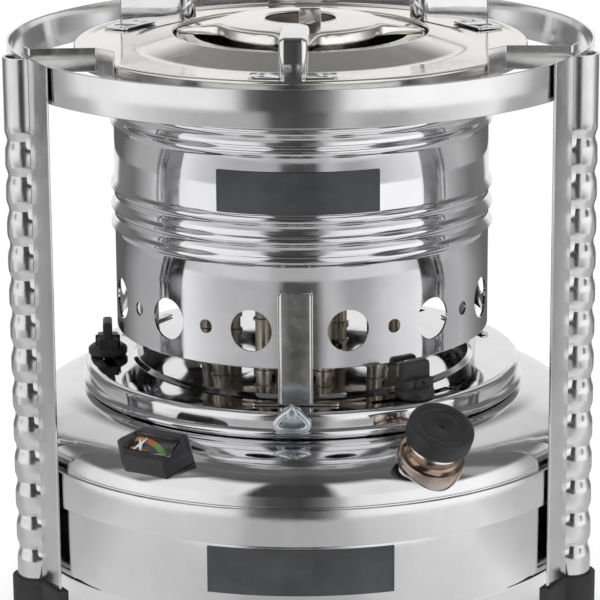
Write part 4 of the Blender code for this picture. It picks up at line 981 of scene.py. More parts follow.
def makeSleeve(name, radius, top, lip):
    wall, low = sleeve["wall"], sleeve["low"]
    outline = [(radius, top), (radius, low), (radius - wall, low)]
    radii = [0.0012 if lip else 0.0002, 0.0002, 0.0002]
    if lip:
        outline += [(radius - wall, top - wall), (lip, top - wall), (lip, top)]
        radii += [0.0006, 0.0003, 0.0003]
    else:
        outline += [(radius - wall, top)]
        radii += [0.0002]
    piece = spinSection(name, softCorners(outline, radii, 3), 160)
    tools = []
    for row, height in enumerate(sleeve["rows"]):
        for vent in range(sleeve["vents"]):
            degrees = 360.0 * (vent + 0.5 * row) / sleeve["vents"]
            tools.append(
                addRod(
                    "vent", around(radius - sleeve["cut"], degrees, height),
                    around(radius + sleeve["cut"], degrees, height), sleeve["vent"], 24,
                ),
            )
    combine(piece, tools)
    return piece


dress(
    makeSleeve("outerSleeve", sleeve["outside"], sleeve["outsideTop"], sleeve["lip"]), sleeveSteel,
    "outer_sleeve",
)
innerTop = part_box("inner_sleeve")[1].z
dress(makeSleeve("innerSleeve", sleeve["inside"], innerTop, None), sleeveSteel, "inner_sleeve")
print("wicks and sleeves made")


topPlate = {
    "radius": 0.112, "thick": 0.001, "rim": 0.2756, "skirt": 0.268, "bead": 0.0025, "flat": 0.2746,
    "coneFoot": 0.0846, "opening": 0.0628, "openingTop": 0.2806,
    "radii": (
        0.0016, 0.02, 0.0012, 0.001, 0.0016, 0.0003, 0.0003, 0.0006, 0.01, 0.0006, 0.0003, 0.0003,
    ),
    "collar": 0.0034,
}


def makeTopPlate():
    radius, thick = topPlate["radius"], topPlate["thick"]
    inner = radius - thick
    flat, top = topPlate["flat"], topPlate["openingTop"]
    outline = [
        (topPlate["opening"], top), (topPlate["coneFoot"], flat),
        (radius - 2 * topPlate["bead"], flat), (radius - 1.3 * topPlate["bead"], topPlate["rim"]),
        (radius, topPlate["rim"]), (radius, topPlate["skirt"]), (inner, topPlate["skirt"]),
        (inner, flat - thick), (topPlate["coneFoot"], flat - thick),
        (topPlate["opening"] + thick, top - 1.3 * thick),
        (topPlate["opening"] + thick, top - topPlate["collar"]),
        (topPlate["opening"], top - topPlate["collar"]),
    ]
    return spinSection("topPlate", softCorners(outline, topPlate["radii"], 6), 256)


dress(makeTopPlate(), creamSteel, "top_plate")

support = {
    "inside": 0.0636, "outside": 0.1055, "top": 0.2944, "width": 0.0135, "sheet": 0.001,
    "round": 0.006, "corner": 0.0028, "tabReach": 0.014, "tabLength": 0.014, "tabOut": 0.1049,
    "gap": 0.0003, "topEdge": 0.0024, "dimple": 0.0022, "dimples": (0.0945, 0.1008),
    "dimpleAcross": 0.0078, "dimpleRise": 0.0018,
    "turns": {"right": 28.0, "left": 148.0, "front": 268.0},
}


def plateHeight(radius):
    slope = (topPlate["openingTop"] - topPlate["flat"]) / (topPlate["coneFoot"] - topPlate["opening"])
    return topPlate["flat"] + support["gap"] + max(0.0, topPlate["coneFoot"] - radius) * slope


def makeSupport():
    half = support["width"] / 2
    low = plateHeight(support["outside"])
    side = [
        (support["inside"], plateHeight(support["inside"])), (topPlate["coneFoot"], low),
        (support["outside"], low), (support["outside"], support["top"]),
        (support["inside"], support["top"]),
    ]
    # drawn lying down as x against height, then stood up
    piece = raiseOutline("supportTemplate", side, -half, half)
    setDown(piece, tilt=math.pi / 2)
    openMesh(piece)
    closeMesh(fineMerge)
    openMesh(piece)
    pick(piece, lambda edge: all(vert.co.x < support["inside"] + 1e-5 for vert in edge.verts)
         and abs(edge.verts[0].co.z - edge.verts[1].co.z) > half, "EDGE")
    bpy.ops.mesh.bevel(offset=support["round"], segments=8, affect="EDGES", profile=0.5)
    pick(piece, lambda edge: all(vert.co.x > support["outside"] - 1e-5 for vert in edge.verts)
         and abs(edge.verts[0].co.z - edge.verts[1].co.z) > half, "EDGE")
    bpy.ops.mesh.bevel(offset=support["corner"], segments=5, affect="EDGES", profile=0.5)
    pick(piece, lambda edge: all(vert.co.z > support["top"] - 1e-5 for vert in edge.verts)
         and len(edge.link_faces) == 2 and edge.calc_face_angle(0.0) > 0.8, "EDGE")
    bpy.ops.mesh.bevel(offset=support["topEdge"], segments=5, affect="EDGES", profile=0.5)
    pick(piece, lambda face: face.normal.z < -0.6, "FACE")
    bpy.ops.mesh.delete(type="FACE")
    closeMesh(0.000002)
    finishWith(piece, "SOLIDIFY", thickness=support["sheet"], offset=-1.0)
    wide = half + support["tabReach"]
    outline = [
        (support["tabOut"] - support["tabLength"], -wide), (support["tabOut"], -wide),
        (support["tabOut"], wide), (support["tabOut"] - support["tabLength"], wide),
    ]
    tabs = easedSlab("supportTabs", outline, 0.0022, 5, low, low + support["sheet"], 0.0003)
    combine(piece, [tabs], "UNION")
    # shallow weld dimples in the tabs
    dimples = []
    for across in (-1.0, 1.0):
        for out in support["dimples"]:
            clearSelection()
            spot = (
                out, across * (half + support["dimpleAcross"]),
                low + support["sheet"] + support["dimpleRise"],
            )
            bpy.ops.mesh.primitive_uv_sphere_add(
                segments=20, ring_count=10, radius=support["dimple"], location=spot,
            )
            dimples.append(bpy.context.object)
    combine(piece, dimples)
    return piece


supportTemplate = makeSupport()
for side, degrees in support["turns"].items():
    piece = turnTo(copyOf(supportTemplate, "panSupport" + side.capitalize()), degrees)
    dress(piece, mirrorSteel, "pan_support_" + side)
dropPiece(supportTemplate)

spreader = {
    "turn": -2.0, "radius": 0.0405, "tip": 0.0612, "tipTurn": 9.5, "crown": 0.287, "bend": 0.2849,
    "tipHeight": 0.2808, "skirt": 0.2794, "skirtOut": 0.0008, "thick": 0.0009, "hole": 0.0175,
    "tabWidth": 0.0108, "tabTop": 0.2942, "tabPlace": (0.0047, -0.0192),
}


def spreaderHeight(radius):
    if radius <= spreader["radius"]:
        return spreader["crown"] - (spreader["crown"] - spreader["bend"]) * (radius / spreader["radius"]) ** 2
    along = (radius - spreader["radius"]) / (spreader["tip"] - spreader["radius"])
    return spreader["bend"] + (spreader["tipHeight"] - spreader["bend"]) * along


def makeSpreader():
    # the star's rim is drawn first, then pulled in to the middle hole ring by ring and down to the skirt
    count = 240
    reaches = []
    for step in range(count):
        degrees = 360.0 * step / count
        off = (degrees + 45.0) % 90.0 - 45.0
        share = math.exp(-((off / spreader["tipTurn"]) ** 2))
        reach = spreader["radius"] + (spreader["tip"] - spreader["radius"]) * share
        reaches.append((degrees + spreader["turn"], reach, share))
    mesh = bmesh.new()
    rings = []
    for share in (0.0, 0.03, 0.2, 0.4, 0.6, 0.8, 0.93, 1.0):
        ring = []
        for degrees, reach, tipShare in reaches:
            radius = spreader["hole"] + (reach - spreader["hole"]) * share
            drop = 0.0005 * (1.0 if share in (0.0, 1.0) else 0.0)
            ring.append(mesh.verts.new(around(radius, degrees, spreaderHeight(radius) - drop)))
        rings.append(ring)
    for downShare in (0.12, 1.0):
        ring = []
        for degrees, reach, tipShare in reaches:
            drop = (spreader["bend"] - spreader["skirt"]) * (1.0 - tipShare) + spreader["thick"] * tipShare
            out = spreader["skirtOut"] * (1.0 - tipShare) * (0.6 + 0.4 * downShare)
            ring.append(
                mesh.verts.new(
                    around(reach + out, degrees, spreaderHeight(reach) - 0.0005 - drop * downShare),
                ),
            )
        rings.append(ring)
    for inner, outer in zip(rings, rings[1:]):
        for i in range(count):
            j = (i + 1) % count
            mesh.faces.new((inner[i], outer[i], outer[j], inner[j]))
    data = bpy.data.meshes.new("flameSpreader")
    mesh.to_mesh(data)
    mesh.free()
    piece = bpy.data.objects.new("flameSpreader", data)
    bpy.context.scene.collection.objects.link(piece)
    finishWith(piece, "SOLIDIFY", thickness=spreader["thick"], offset=-1.0)
    openMesh(piece)
    bpy.ops.mesh.normals_make_consistent(inside=False)
    bpy.ops.object.mode_set(mode="OBJECT")
    across, forward = spreader["tabPlace"]
    low = spreaderHeight(abs(forward)) - spreader["thick"] / 2
    half = spreader["tabWidth"] / 2
    outline = [(-half, low), (half, low), (half, spreader["tabTop"]), (-half, spreader["tabTop"])]
    thin = spreader["thick"] / 2
    tab = easedSlab("spreaderTab", outline, [0.0, 0.0, 0.0012, 0.0012], 4, -thin, thin, 0.00025)
    setDown(tab, (across, forward, 0.0), math.pi / 2)
    combine(piece, [tab], "UNION")
    return piece


dress(makeSpreader(), creamSteel, "flame_spreader", 40.0, body="spreader_body")
print("top made")


knob = {
    "ring": 0.0985, "low": 0.1158, "top": 0.0178, "wide": 0.0082, "finger": 0.0046,
    "footRadius": 0.0098, "footHeight": 0.0054, "blockWide": 0.0164, "blockDeep": 0.0104,
    "blockTop": 0.0096, "boss": 0.0033, "bossHeight": 0.0068, "bossOut": 0.0062, "stem": 0.002,
    "stemLow": 0.1041,
}


def makeKnob():
    # a round foot, a block on it, a finger blade on top and a small boss through the block
    wide, top = knob["wide"], knob["top"]
    outline = [(-wide, 0.001), (wide, 0.001), (wide - 0.0003, top), (-wide + 0.0003, top)]
    half = knob["finger"] / 2
    piece = easedSlab("knobTemplate", outline, [0.0, 0.0, 0.0024, 0.0024], 5, -half, half, 0.0012, 4)
    setDown(piece, tilt=math.pi / 2)
    radius, height = knob["footRadius"], knob["footHeight"]
    section = [
        (0.0, 0.0), (radius - 0.0008, 0.0), (radius, 0.0012), (radius, height - 0.0016),
        (radius - 0.0022, height), (0.0, height),
    ]
    base = spinSection(
        "knobFoot", softCorners(section, [0.0, 0.0004, 0.0006, 0.0012, 0.0012, 0.0], 4, closed=False),
        64, False,
    )
    combine(piece, [base], "UNION")
    across, deep = knob["blockWide"] / 2, knob["blockDeep"] / 2
    block = easedSlab("knobBlock", boxOutline(across, deep), 0.0014, 4, 0.003, knob["blockTop"], 0.0009, 3)
    combine(piece, [block], "UNION")
    half, boss = knob["bossOut"], knob["boss"]
    section = [
        (0.0, -half + 0.0009), (0.0018, -half + 0.0009), (0.0021, -half), (boss, -half), (boss, half),
        (0.0021, half), (0.0018, half - 0.0009), (0.0, half - 0.0009),
    ]
    hub = spinSection(
        "knobBoss",
        softCorners(
            section, [0.0, 0.0002, 0.0003, 0.0005, 0.0005, 0.0003, 0.0002, 0.0], 3, closed=False,
        ),
        40, False,
    )
    setDown(hub, (0.0, 0.0, knob["bossHeight"]), math.pi / 2)
    combine(piece, [hub], "UNION")
    setDown(piece, (0.0, 0.0, knob["low"]))
    stem = addRod("knobStem", (0, 0, knob["stemLow"]), (0, 0, knob["low"] + 0.002), knob["stem"], 24)
    combine(piece, [stem], "UNION")
    return piece


knobTemplate = makeKnob()
for number, degrees in enumerate(stage["knobs"]):
    piece = copyOf(knobTemplate, "regulatorKnob%d" % (number + 1))
    setDown(piece, (0.0, -knob["ring"], 0.0))
    turnTo(piece, degrees + 90.0)
    dress(
        piece, blackPlastic, "regulator_knob_%d" % (number + 1), body="regulator_body",
    )
dropPiece(knobTemplate)
print("knobs made")


def seatPlace(degrees, radius, height, tilt):
    outward = around(1.0, degrees)
    lean = math.radians(tilt)
    up = outward * math.sin(lean) + Vector((0.0, 0.0, math.cos(lean)))
    across = Vector((-outward.y, outward.x, 0.0))
    inward = up.cross(across)
    place = Matrix((across, inward, up)).transposed().to_4x4()
    place.translation = outward * radius + Vector((0.0, 0.0, height))
    return place


filler = {"turn": 297.0, "radius": 0.1323, "tilt": 30.6}
gauge = {"turn": 238.0, "radius": 0.131, "tilt": 28.3}
fillerPlace = seatPlace(filler["turn"], filler["radius"], domeHeight(filler["radius"]), filler["tilt"])
gaugePlace = seatPlace(gauge["turn"], gauge["radius"], domeHeight(gauge["radius"]), gauge["tilt"])


def cutByDome(piece):
    # what stands on the dome ends just above its skin
    clear = 0.0003
    section = [(0.0, tank["top"] + clear), (0.06, tank["top"] + clear)]
    for step in range(23):
        turn = math.radians(4.0 * step)
        section.append(
            (
                tank["flat"] + (tank["run"] + clear) * math.sin(turn),
                tank["domeFoot"] + (tank["rise"] + clear) * math.cos(turn),
            ),
        )
    section += [(tank["radius"] + clear, tank["bottom"]), (0.0, tank["bottom"])]
    combine(piece, [spinSection("domeSpace", section, 288, False)])
    return piece


neck = {
    "radius": 0.0125, "bore": 0.0108, "top": 0.0168, "thread": 0.0133, "pitch": 0.0025, "turns": 3,
    "collar": 0.0162, "collarTop": 0.0032, "low": -0.0125, "collarEase": 0.0012, "collarIn": 0.0007,
    "weldOut": 0.0012, "weldLow": 0.0006, "weldTop": 0.0018, "rim": 0.0003, "rimDrop": 0.0002,
}


def makeNeck():
    radius, collar, collarTop, low = neck["radius"], neck["collar"], neck["collarTop"], neck["low"]
    outer = [
        (collar, low), (collar, collarTop - neck["collarEase"]),
        (collar - neck["collarIn"], collarTop),
        (radius + neck["weldOut"], collarTop + neck["weldLow"]), (radius, collarTop + neck["weldTop"]),
    ]
    for number in range(neck["turns"] - 1, -1, -1):
        crest = neck["top"] - neck["pitch"] * (number + 0.75)
        for step in range(-3, 4):
            swell = (neck["thread"] - neck["radius"]) * (0.5 + 0.5 * math.cos(math.pi * step / 3))
            outer.append((neck["radius"] + swell, crest + step * neck["pitch"] / 8))
    outer += [(radius, neck["top"] - neck["rimDrop"]), (radius - neck["rim"], neck["top"])]
    inner = [
        (neck["bore"] + neck["rim"], neck["top"]), (neck["bore"], neck["top"] - neck["rim"]),
        (neck["bore"], low),
    ]
    return spinSection("fillerNeck", outer + inner, 96)


def copperFinish():
    # the neck's weld heat left brown and copper tints that fade up the thread
    finish, tree, shader = newFinish("heatTintedNeck", (0.8, 0.79, 0.78), 1.0, 0.12)
    spot = fillerPlace.translation + Vector((0.0, axisY, 0.0))
    vector = objectPlace(tree, spot, (1, 1, 1), fillerPlace.to_euler())
    parts = tree.nodes.new("ShaderNodeSeparateXYZ")
    feed(tree, vector, parts, "Vector")
    wobble = cloudy(tree, vector, 120.0, 4.0, 0.6)
    shift = spread(tree, wobble, -0.0015, 0.0015)
    height = calc(tree, "ADD", parts.outputs["Z"], shift)
    share = spread(tree, height, 0.0, 1.0, -0.002, 0.015)
    stops = [
        (0.0, (0.52, 0.46, 0.42)), (0.2, (0.44, 0.35, 0.30)), (0.34, (0.36, 0.26, 0.21)),
        (0.46, (0.48, 0.37, 0.31)), (0.58, (0.68, 0.64, 0.61)), (0.8, (0.82, 0.82, 0.82)),
    ]
    feed(tree, ramp(tree, share, stops), shader, "Base Color")
    feed(tree, spread(tree, wobble, 0.08, 0.2), shader, "Roughness")
    raised(tree, shader, [(cloudy(tree, vector, 300.0, 2.0), 0.06, 0.0004)])
    return finish


dress(cutByDome(seatOn(makeNeck(), fillerPlace)), copperFinish(), "filler_neck")

cap = {
    "radius": 0.016, "low": 0.0135, "top": 0.0228, "bore": 0.014, "roof": 0.0188, "flutes": 72,
    "faceOut": 0.0017, "rimDrop": 0.002, "footRise": 0.0008, "ease": 0.0003, "footEase": 0.0001,
    "boreEase": 0.0004,
    "face": (
        (0.0, 0.0022), (0.0008, 0.0021), (0.0014, 0.0011), (0.003, 0.0007), (0.0052, 0.0006),
        (0.0075, 0.0005), (0.0086, 0.00065), (0.0094, 0.001), (0.0103, 0.00095), (0.0109, 0.0004),
        (0.0114, 0.0001), (0.0122, 0.0), (0.0136, 0.0), (0.0145, 0.0002), (0.0152, 0.0007),
        (0.0157, 0.0013),
    ),
    "fluteDepth": 0.00022,
}


def makeCap():
    radius, top = cap["radius"], cap["top"]
    low, bore, ease = cap["low"], cap["bore"], cap["ease"]
    section = [(out, top - drop) for out, drop in cap["face"]]
    section += [
        (radius, top - cap["rimDrop"]), (radius, low + cap["footRise"]),
        (radius - ease, low + cap["footEase"]),
    ]
    section += [(radius - 2 * ease, low), (bore + ease, low), (bore, low + cap["boreEase"])]
    section += [(bore, cap["roof"]), (0.0, cap["roof"])]
    piece = spinSection("fillerCap", section, cap["flutes"] * 2, False)
    openMesh(piece)
    step = 180.0 / cap["flutes"]

    def inFlute(vert):
        spot = vert.co
        onSide = low + 0.0005 < spot.z < top - cap["faceOut"]
        if not onSide or spot.to_2d().length <= radius - 0.0002:
            return False
        return round(math.degrees(math.atan2(spot.y, spot.x)) % 360.0 / step) % 2 == 1

    pick(piece, inFlute)
    shrink = 1.0 - cap["fluteDepth"] / radius
    bpy.ops.transform.resize(value=(shrink, shrink, 1.0), center_override=(0.0, 0.0, 0.0))
    closeMesh(0.000001)
    return piece


dress(
    seatOn(makeCap(), fillerPlace), blackPlastic, "filler_cap", 28.0, body="cap_body",
)

housing = {
    "halfLong": 0.0215, "halfShort": 0.0118, "flat": 0.56, "low": -0.0118, "height": 0.007,
    "facet": 0.0024, "axle": -0.008, "windowLong": 0.0265, "windowShort": 0.0125, "pocket": 0.0046,
    "fit": 0.0006, "bore": 0.0018, "gap": 0.0003, "windowThick": 0.001, "windowEase": 0.0002,
    "dialThick": 0.0008,
}


def makeHousing():
    long, short = housing["halfLong"], housing["halfShort"]
    flat = housing["flat"] * long
    outline = [(long, 0.0), (flat, short), (-flat, short), (-long, 0.0), (-flat, -short), (flat, -short)]
    piece = raiseOutline("gaugeHousing", outline, housing["low"], housing["height"])
    openMesh(piece)
    pick(piece, lambda edge: all(vert.co.z > housing["height"] - 1e-5 for vert in edge.verts), "EDGE")
    bpy.ops.mesh.bevel(offset=housing["facet"], segments=1, affect="EDGES")
    closeMesh(0.000001)
    roundEdges(piece, 0.0005, 3, 18.0)
    halfX, halfY = housing["windowLong"] / 2, housing["windowShort"] / 2
    hollow = boxOutline(halfX, halfY)
    pocket = raiseOutline(
        "gaugePocket", softCorners(hollow, 0.0004, 2), housing["height"] - housing["pocket"],
        housing["height"] + 0.002,
    )
    combine(piece, [pocket])
    bore = addRod(
        "gaugeBore", (housing["axle"], 0, -0.02), (housing["axle"], 0, 0.006), housing["bore"], 24,
    )
    combine(piece, [bore])
    return piece


dress(cutByDome(seatOn(makeHousing(), gaugePlace)), gaugeBlack, "gauge_housing", 25.0)


def scaleFinish():
    # a black card with a wide and a narrow curved band, orange at the empty end and green at the full end
    finish, tree, shader = newFinish("scaleCard", (0.02, 0.02, 0.02), 0.0, 0.45)
    spot = gaugePlace @ Vector((-0.009, -0.018, 0.0)) + Vector((0.0, axisY, 0.0))
    vector = objectPlace(tree, spot, (1, 1, 1), gaugePlace.to_euler())
    parts = tree.nodes.new("ShaderNodeSeparateXYZ")
    feed(tree, vector, parts, "Vector")
    across, upward = parts.outputs["X"], parts.outputs["Y"]
    squared = calc(
        tree, "ADD", calc(tree, "MULTIPLY", across, across), calc(tree, "MULTIPLY", upward, upward),
    )
    share = spread(tree, calc(tree, "SQRT", squared), 0.0, 1.0, 0.014, 0.024)
    orange, green, dark = (0.42, 0.075, 0.02), (0.035, 0.17, 0.04), (0.008, 0.008, 0.008)
    wear = cloudy(tree, vector, 260.0, 3.0)
    reach = calc(tree, "ADD", across, spread(tree, wear, -0.0004, 0.0004))
    along = spread(tree, reach, 0.0, 1.0, 0.0, 0.02)
    colours = ramp(
        tree, along,
        [
            (0.0, (0.55, 0.22, 0.10)), (0.16, orange), (0.36, (0.45, 0.12, 0.02)),
            (0.40, (0.10, 0.22, 0.03)), (1.0, green),
        ],
    )
    bands = ramp(
        tree, share,
        [
            (0.0, 0.0), (0.22, 0.0), (0.24, 0.8), (0.31, 0.8), (0.33, 0.0), (0.64, 0.0), (0.66, 1.0),
            (0.90, 1.0), (0.92, 0.0),
        ],
    )
    mix = tree.nodes.new("ShaderNodeMix")
    mix.data_type = "RGBA"
    feed(tree, bands, mix, "Factor")
    for socket in mix.inputs:
        if socket.name == "A" and socket.type == "RGBA":
            socket.default_value = (*dark, 1.0)
        if socket.name == "B" and socket.type == "RGBA":
            tree.links.new(colours, socket)
    for socket in mix.outputs:
        if socket.type == "RGBA":
            feed(tree, socket, shader, "Base Color")
    feed(tree, spread(tree, wear, 0.35, 0.5), shader, "Roughness")
    return finish


def makeDial():
    halfX, halfY = housing["windowLong"] / 2 - housing["fit"], housing["windowShort"] / 2 - housing["fit"]
    low = housing["height"] - housing["pocket"] + housing["gap"]
    outline = boxOutline(halfX, halfY)
    piece = raiseOutline("gaugeDial", softCorners(outline, 0.0006, 3), low, low + housing["dialThick"])
    combine(
        piece,
        [
            addRod(
                "dialBore", (housing["axle"], 0, -0.002), (housing["axle"], 0, 0.008), housing["bore"],
                24,
            ),
        ],
    )
    roundEdges(piece, 0.00012, 1, 60.0)
    return piece


dress(seatOn(makeDial(), gaugePlace), scaleFinish(), "gauge_dial")


def makeWindow():
    halfX, halfY = housing["windowLong"] / 2 - housing["fit"], housing["windowShort"] / 2 - housing["fit"]
    top = housing["height"]
    low = top - housing["windowThick"]
    outline = boxOutline(halfX, halfY)
    return easedSlab("gaugeWindow", outline, housing["fit"], 3, low, top, housing["windowEase"])


dress(seatOn(makeWindow(), gaugePlace), clearWindow, "gauge_window")


pointer = {
    "thick": 0.0008, "round": 0.0002, "ease": 0.0001, "shaft": 0.0011, "shaftLow": -0.02,
    "star": (
        (20.0, 0.0009), (68.0, 0.0058), (98.0, 0.0012), (118.0, 0.0052), (150.0, 0.0008),
        (200.0, 0.0010), (242.0, 0.0050), (272.0, 0.0011), (304.0, 0.0052), (340.0, 0.0009),
    ),
}


def makePointer():
    low = housing["height"] - housing["pocket"] + housing["gap"] + housing["dialThick"] + housing["gap"]
    star = [tuple(around(reach, degrees).to_2d()) for degrees, reach in pointer["star"]]
    thick = pointer["thick"]
    piece = easedSlab("gaugePointer", star, pointer["round"], 2, low, low + thick, pointer["ease"], 1)
    shaft = addRod(
        "pointerShaft", (0, 0, pointer["shaftLow"]), (0, 0, low + thick / 2), pointer["shaft"], 24,
    )
    combine(piece, [shaft], "UNION")
    piece.location.x = housing["axle"]
    return piece


dress(
    seatOn(makePointer(), gaugePlace), pointerWhite, "gauge_pointer", body="gauge_body",
)
print("filler and gauge made")


plate = {"thick": 0.0004, "rim": 0.0007, "step": 0.0002, "sunk": -0.00012}


def makePlate(name, inside, start, end, low, high):
    thick = plate["thick"]
    corners = [(inside, low), (inside + thick, low), (inside + thick, high), (inside, high)]
    piece = spinSection(name, corners, 40, True, end - start, end)
    openMesh(piece)

    def inFront(face):
        middle = face.calc_center_median().to_2d()
        return (middle.length > inside + thick * 0.9 and abs(face.normal.z) < 0.1
                and face.normal.to_2d().dot(middle.normalized()) > 0.8)

    pick(piece, inFront, "FACE")
    bpy.ops.mesh.inset(thickness=plate["rim"], depth=0.0)
    bpy.ops.mesh.inset(thickness=plate["step"], depth=plate["sunk"])
    closeMesh(fineMerge)
    return piece


dress(
    makePlate("drumPlate", 0.0937, 244.6, 293.2, 0.2085, 0.2285), plateBlack, "drum_plate",
)
dress(
    makePlate("tankPlate", 0.1437, 251.6, 287.2, 0.0365, 0.0592), plateBlack, "tank_plate",
)

kept = {
    "control_ring": strapSteel, "wick_carrier": blueZinc, "float_arm": blueZinc,
    "gauge_float": corkFloat, "cap_gasket": blackRubber,
}
for name, finish in kept.items():
    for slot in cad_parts[name].material_slots:
        slot.material = finish
print("all pieces dressed")


floor = {"radius": 0.46, "fadeStart": 0.2, "colour": 0.82}


def mixShaders(tree, share, first, second):
    node = tree.nodes.new("ShaderNodeMixShader")
    for value, spot in ((share, "Fac"), (first, 1), (second, 2)):
        feed(tree, value, node, spot)
    return node.outputs["Shader"]


def makeFloor():
    clearSelection()
    bpy.ops.mesh.primitive_circle_add(
        vertices=128, radius=floor["radius"], fill_type="NGON", location=(0, axisY, 0),
    )
    piece = bpy.context.object
    piece.name = "studioFloor"
    applyPlace()
    finish = bpy.data.materials.new("paleFloor")
    finish.use_nodes = True
    tree = finish.node_tree
    shader = tree.nodes["Principled BSDF"]
    output = tree.nodes["Material Output"]
    vector = objectPlace(tree)
    tone = cloudy(tree, vector, 8.0, 2.0)
    light = floor["colour"]
    feed(tree, ramp(tree, tone, [(0.3, light - 0.01), (0.7, light + 0.01)]), shader, "Base Color")
    shader.inputs["Roughness"].default_value = 0.9
    shader.inputs["Specular IOR Level"].default_value = 0.1
    length = tree.nodes.new("ShaderNodeVectorMath")
    length.operation = "LENGTH"
    feed(tree, vector, length, 0)
    fade = spread(tree, length.outputs["Value"], 0.0, 1.0, floor["fadeStart"], floor["radius"] - 0.03)
    glow = tree.nodes.new("ShaderNodeEmission")
    glow.inputs["Strength"].default_value = 1.0
    rays = tree.nodes.new("ShaderNodeLightPath")
    toCamera = calc(tree, "ADD", rays.outputs["Is Camera Ray"], rays.outputs["Is Transmission Ray"], True)
    lift = tree.nodes.new("ShaderNodeAddShader")
    veil = tree.nodes.new("ShaderNodeEmission")
    veil.inputs["Strength"].default_value = 0.32
    feed(tree, shader.outputs["BSDF"], lift, 0)
    feed(tree, veil.outputs["Emission"], lift, 1)
    seen = mixShaders(tree, fade, lift.outputs["Shader"], glow.outputs["Emission"])
    parts = tree.nodes.new("ShaderNodeSeparateXYZ")
    feed(tree, vector, parts, "Vector")
    mirrored = tree.nodes.new("ShaderNodeEmission")
    feed(tree, aroundRamp(tree, aroundShare(tree, parts), floorRow), mirrored, "Color")
    steelSees = mirrored.outputs["Emission"]
    unseen = mixShaders(tree, rays.outputs["Is Glossy Ray"], shader.outputs["BSDF"], steelSees)
    feed(tree, mixShaders(tree, toCamera, unseen, seen), output, "Surface")
    piece.data.materials.append(finish)


studio = {"plain": 0.72}
# what the steel mirrors, by the direction from the front in degrees, right of the stove positive
hoopRow = [
    (-180, 0.9), (-154, 0.9), (-147, 0.22), (-122, 0.18), (-113, 0.3), (-102, 0.5), (-93, 0.885),
    (-83, 0.93), (-68, 1.03), (-36, 0.98), (-26.3, 0.83), (-19.9, 0.19), (-13.5, 0.08), (-1, 0.055),
    (5.5, 0.136), (11.9, 0.32), (18.3, 0.85), (24.7, 1.02), (43, 1.13), (74, 1.16), (90.5, 0.895),
    (100, 0.47), (112, 0.3), (124, 0.18), (147, 0.22), (154, 0.9), (180, 0.9),
]
drumRow = [
    (-180, 0.12), (-144, 0.128), (-120, 0.415), (-102.6, 0.445), (-91, 0.5), (-83, 0.95), (-75.2, 0.9),
    (-63.2, 0.71), (-52, 0.585), (-41.3, 0.5), (-21, 0.476), (-15.5, 0.4), (-11, 0.09), (-1.2, 0.07),
    (8.6, 0.1), (14, 0.5), (18.5, 0.564), (28.5, 0.404), (38.7, 0.445), (49.3, 0.636), (60.4, 0.77),
    (72, 0.86), (80, 1.0), (88, 0.5), (98.8, 0.445), (115.3, 0.51), (137, 0.235), (150, 0.15),
    (180, 0.12),
]
middleRow = [
    (-180, 0.2), (-168, 0.25), (-162, 0.75), (-140, 0.7), (-132, 0.16), (-92, 0.14), (-88, 0.4),
    (-76, 0.4), (-69, 0.12), (-65, 0.95), (-27, 0.95), (-22, 0.05), (11, 0.05), (16, 0.9), (50, 0.95),
    (56, 0.12), (72, 0.12), (77, 0.4), (88, 0.4), (92, 0.14), (132, 0.16), (140, 0.7), (162, 0.75),
    (168, 0.25), (180, 0.2),
]
highRow = [(-180, 0.12), (-90, 0.14), (-54, 0.12), (0, 0.07), (54, 0.12), (90, 0.14), (180, 0.12)]
floorRow = [
    (-110, 0.45), (-72, 0.55), (-57, 0.7), (-36, 0.69), (-20, 0.6), (-15, 0.474), (0, 0.457),
    (13.7, 0.53), (18.6, 0.666), (33.6, 0.76), (44.6, 0.82), (56, 0.87), (62, 0.74), (72, 0.6),
    (110, 0.45),
]


def aroundRamp(tree, share, row):
    return ramp(tree, share, [(0.5 + degrees / 360.0, level) for degrees, level in row])


def aroundShare(tree, parts):
    turn = calc(tree, "ARCTAN2", parts.outputs["X"], calc(tree, "MULTIPLY", parts.outputs["Y"], -1.0))
    return calc(tree, "ADD", calc(tree, "DIVIDE", turn, 2 * math.pi), 0.5)


def blendBy(tree, share, first, second):
    mix = tree.nodes.new("ShaderNodeMixRGB")
    for socket, value in zip(mix.inputs, (share, first, second)):
        if isinstance(value, (int, float)):
            socket.default_value = (value, value, value, 1.0)
        else:
            tree.links.new(value, socket)
    return mix.outputs["Color"]


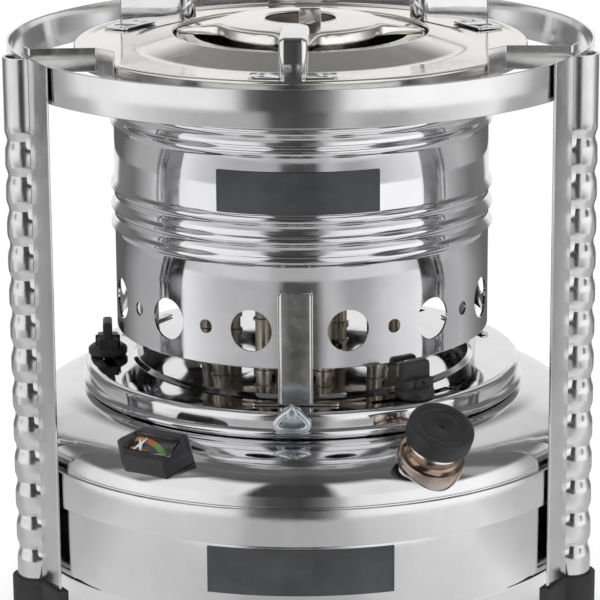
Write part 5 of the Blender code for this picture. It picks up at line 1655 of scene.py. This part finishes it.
def makeStudio():
    world = bpy.data.worlds.new("softStudio")
    bpy.context.scene.world = world
    world.use_nodes = True
    tree = world.node_tree
    back = tree.nodes["Background"]
    source = tree.nodes.new("ShaderNodeTexCoord")
    parts = tree.nodes.new("ShaderNodeSeparateXYZ")
    feed(tree, source.outputs["Generated"], parts, "Vector")
    share = aroundShare(tree, parts)
    climb = calc(tree, "MULTIPLY", calc(tree, "ARCSINE", parts.outputs["Z"]), 180.0 / math.pi)
    rows = [aroundRamp(tree, share, row) for row in (drumRow, hoopRow, middleRow, highRow)]
    mirrored = rows[0]
    for row, (start, end) in zip(rows[1:], ((-12.7, -12.4), (19.0, 26.0), (57.0, 67.0))):
        mirrored = blendBy(tree, spread(tree, climb, 0.0, 1.0, start, end), mirrored, row)
    rays = tree.nodes.new("ShaderNodeLightPath")
    level = blendBy(tree, rays.outputs["Is Glossy Ray"], studio["plain"], mirrored)
    plain = calc(tree, "ADD", rays.outputs["Is Camera Ray"], rays.outputs["Is Transmission Ray"], True)
    feed(tree, blendBy(tree, plain, level, 1.0), back, "Color")
    back.inputs["Strength"].default_value = 1.0


makeFloor()
makeStudio()

lamps = {
    "keyLamp": ((-0.7, -0.9, 1.5), 0.9, 9.0), "fillLamp": ((0.9, -0.5, 1.2), 1.0, 5.0),
    "backLamp": ((0.1, 1.1, 1.3), 1.1, 5.0),
}
for name, (spot, size, power) in lamps.items():
    clearSelection()
    bpy.ops.object.light_add(type="AREA", location=spot)
    lamp = bpy.context.object
    lamp.name = name
    lamp.data.size = size
    lamp.data.energy = power
    lamp.rotation_euler = (Vector(spot) - Vector((0.0, 0.0, 0.15))).to_track_quat("Z", "Y").to_euler()
    lamp.visible_glossy = False

camera = {
    "lens": 184.26, "place": (0.0, -1.5, 0.542), "pitch": 14.92, "roll": -0.35, "shiftX": -2.2 / 600,
    "shiftY": -0.7 / 600,
}
view = Matrix.Translation(Vector(camera["place"]) + Vector((0.0, axisY, 0.0)))
view = view @ Matrix.Rotation(
    math.radians(90.0 - camera["pitch"]), 4, "X",
) @ Matrix.Rotation(math.radians(camera["roll"]), 4, "Z")
clearSelection()
bpy.ops.object.camera_add(location=view.translation, rotation=view.to_euler())
eye = bpy.context.object
eye.name = "photoCamera"
eye.data.lens = camera["lens"]
eye.data.sensor_width = 36.0
eye.data.shift_x = camera["shiftX"]
eye.data.shift_y = camera["shiftY"]
eye.data.dof.use_dof = False
bpy.context.scene.camera = eye
bpy.context.scene.view_settings.view_transform = "Standard"
print("studio ready")
